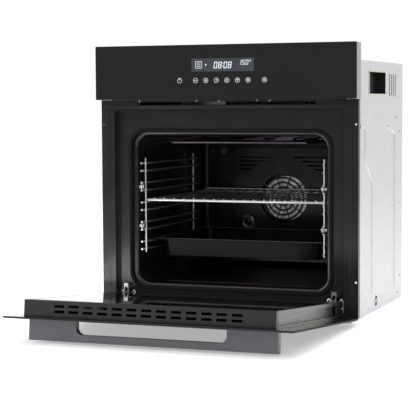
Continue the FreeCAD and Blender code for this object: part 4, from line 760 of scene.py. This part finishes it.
keys = bmesh.new()
KEY_HIGH, KEY_RING = 518, 5.2
for number, x in enumerate((-97, -60, -36, -12, 12, 36, 60, 97)):
    printed_ring(keys, x, KEY_HIGH, KEY_RING, KEY_RING - 0.6, PRINT_FACE, PRINT_BACK)
    bars = {
        0: ((-0.5, 1.0, 0.5, 6.4),),
        1: ((-2.4, -0.5, 2.4, 0.5),),
        2: ((-2.4, -0.5, 2.4, 0.5), (-0.5, -2.4, 0.5, 2.4)),
        3: ((-0.5, -0.5, 0.5, 2.8), (-0.5, -0.5, 2.2, 0.5)),
        4: ((-2.2, -2.2, 2.2, -1.2), (-2.2, 1.2, 2.2, 2.2)),
        5: ((-2.4, 1.0, 2.4, 2.0), (-0.5, -2.4, 0.5, 1.0)),
        6: ((-2.2, -0.5, 2.2, 0.5), (-2.2, -2.4, -1.2, 2.4), (1.2, -2.4, 2.2, 2.4)),
        7: ((-1.8, -2.2, -0.6, 2.2), (0.6, -2.2, 1.8, 2.2)),
    }[number]
    for x0, z0, x1, z1 in bars:
        slab(keys, (x + x0, PRINT_FACE, KEY_HIGH + z0), (x + x1, PRINT_BACK, KEY_HIGH + z1))
finish_piece("touch_keys", keys, lit, "oven", "display")

# ---- Door ----
# Three panes in a light frame: the black outer glass carries everything, with two clear
# low-emissivity panes behind it in drawn aluminium sides and a moulded top rail.

pane, tree, shader = new_material("coated_float_glass", IOR=1.52, Transmission_Weight=1.0)
way = add_node(tree, "ShaderNodeTexCoord")
wipe = add_node(tree, "ShaderNodeTexNoise",
                {"Vector": way.outputs["Object"], "Scale": 1 / (60 * MM), "Detail": 4.0})
tone = add_node(tree, "ShaderNodeMix",
                {0: wipe.outputs["Fac"], 6: paint("#7d8280"), 7: paint("#8a8f8e")}, data_type="RGBA")
film = add_node(tree, "ShaderNodeMapRange", {"Value": wipe.outputs["Fac"], "To Min": 0.0, "To Max": 0.05})
tree.links.new(tone.outputs[2], shader.inputs["Base Color"])
tree.links.new(film.outputs[0], shader.inputs["Roughness"])
eased_nodes(pane, 0.5, "door_glass_middle", "door_glass_inner")
drawn_aluminium = metal("drawn_aluminium", "#5a5855", "#64625e", 0.26, 0.3, 60, 4, (1, 0.01, 1), depth=0.003)
eased_nodes(drawn_aluminium, 0.35, "door_side_profile_left", "door_side_profile_right")
eased_nodes(black_enamel, 0.6, "door_bottom_rail")

# ---- Handle ----
# A flat bar with a long finger slot, cut from dark anodised aluminium and brushed along its length.

brushed = metal("brushed_dark_aluminium", "#5f6063", "#6a6b6e", 0.3, 0.42, 70, 1.2, (0.03, 1, 1), depth=0.04)
eased_nodes(brushed, 0.5, "door_handle")
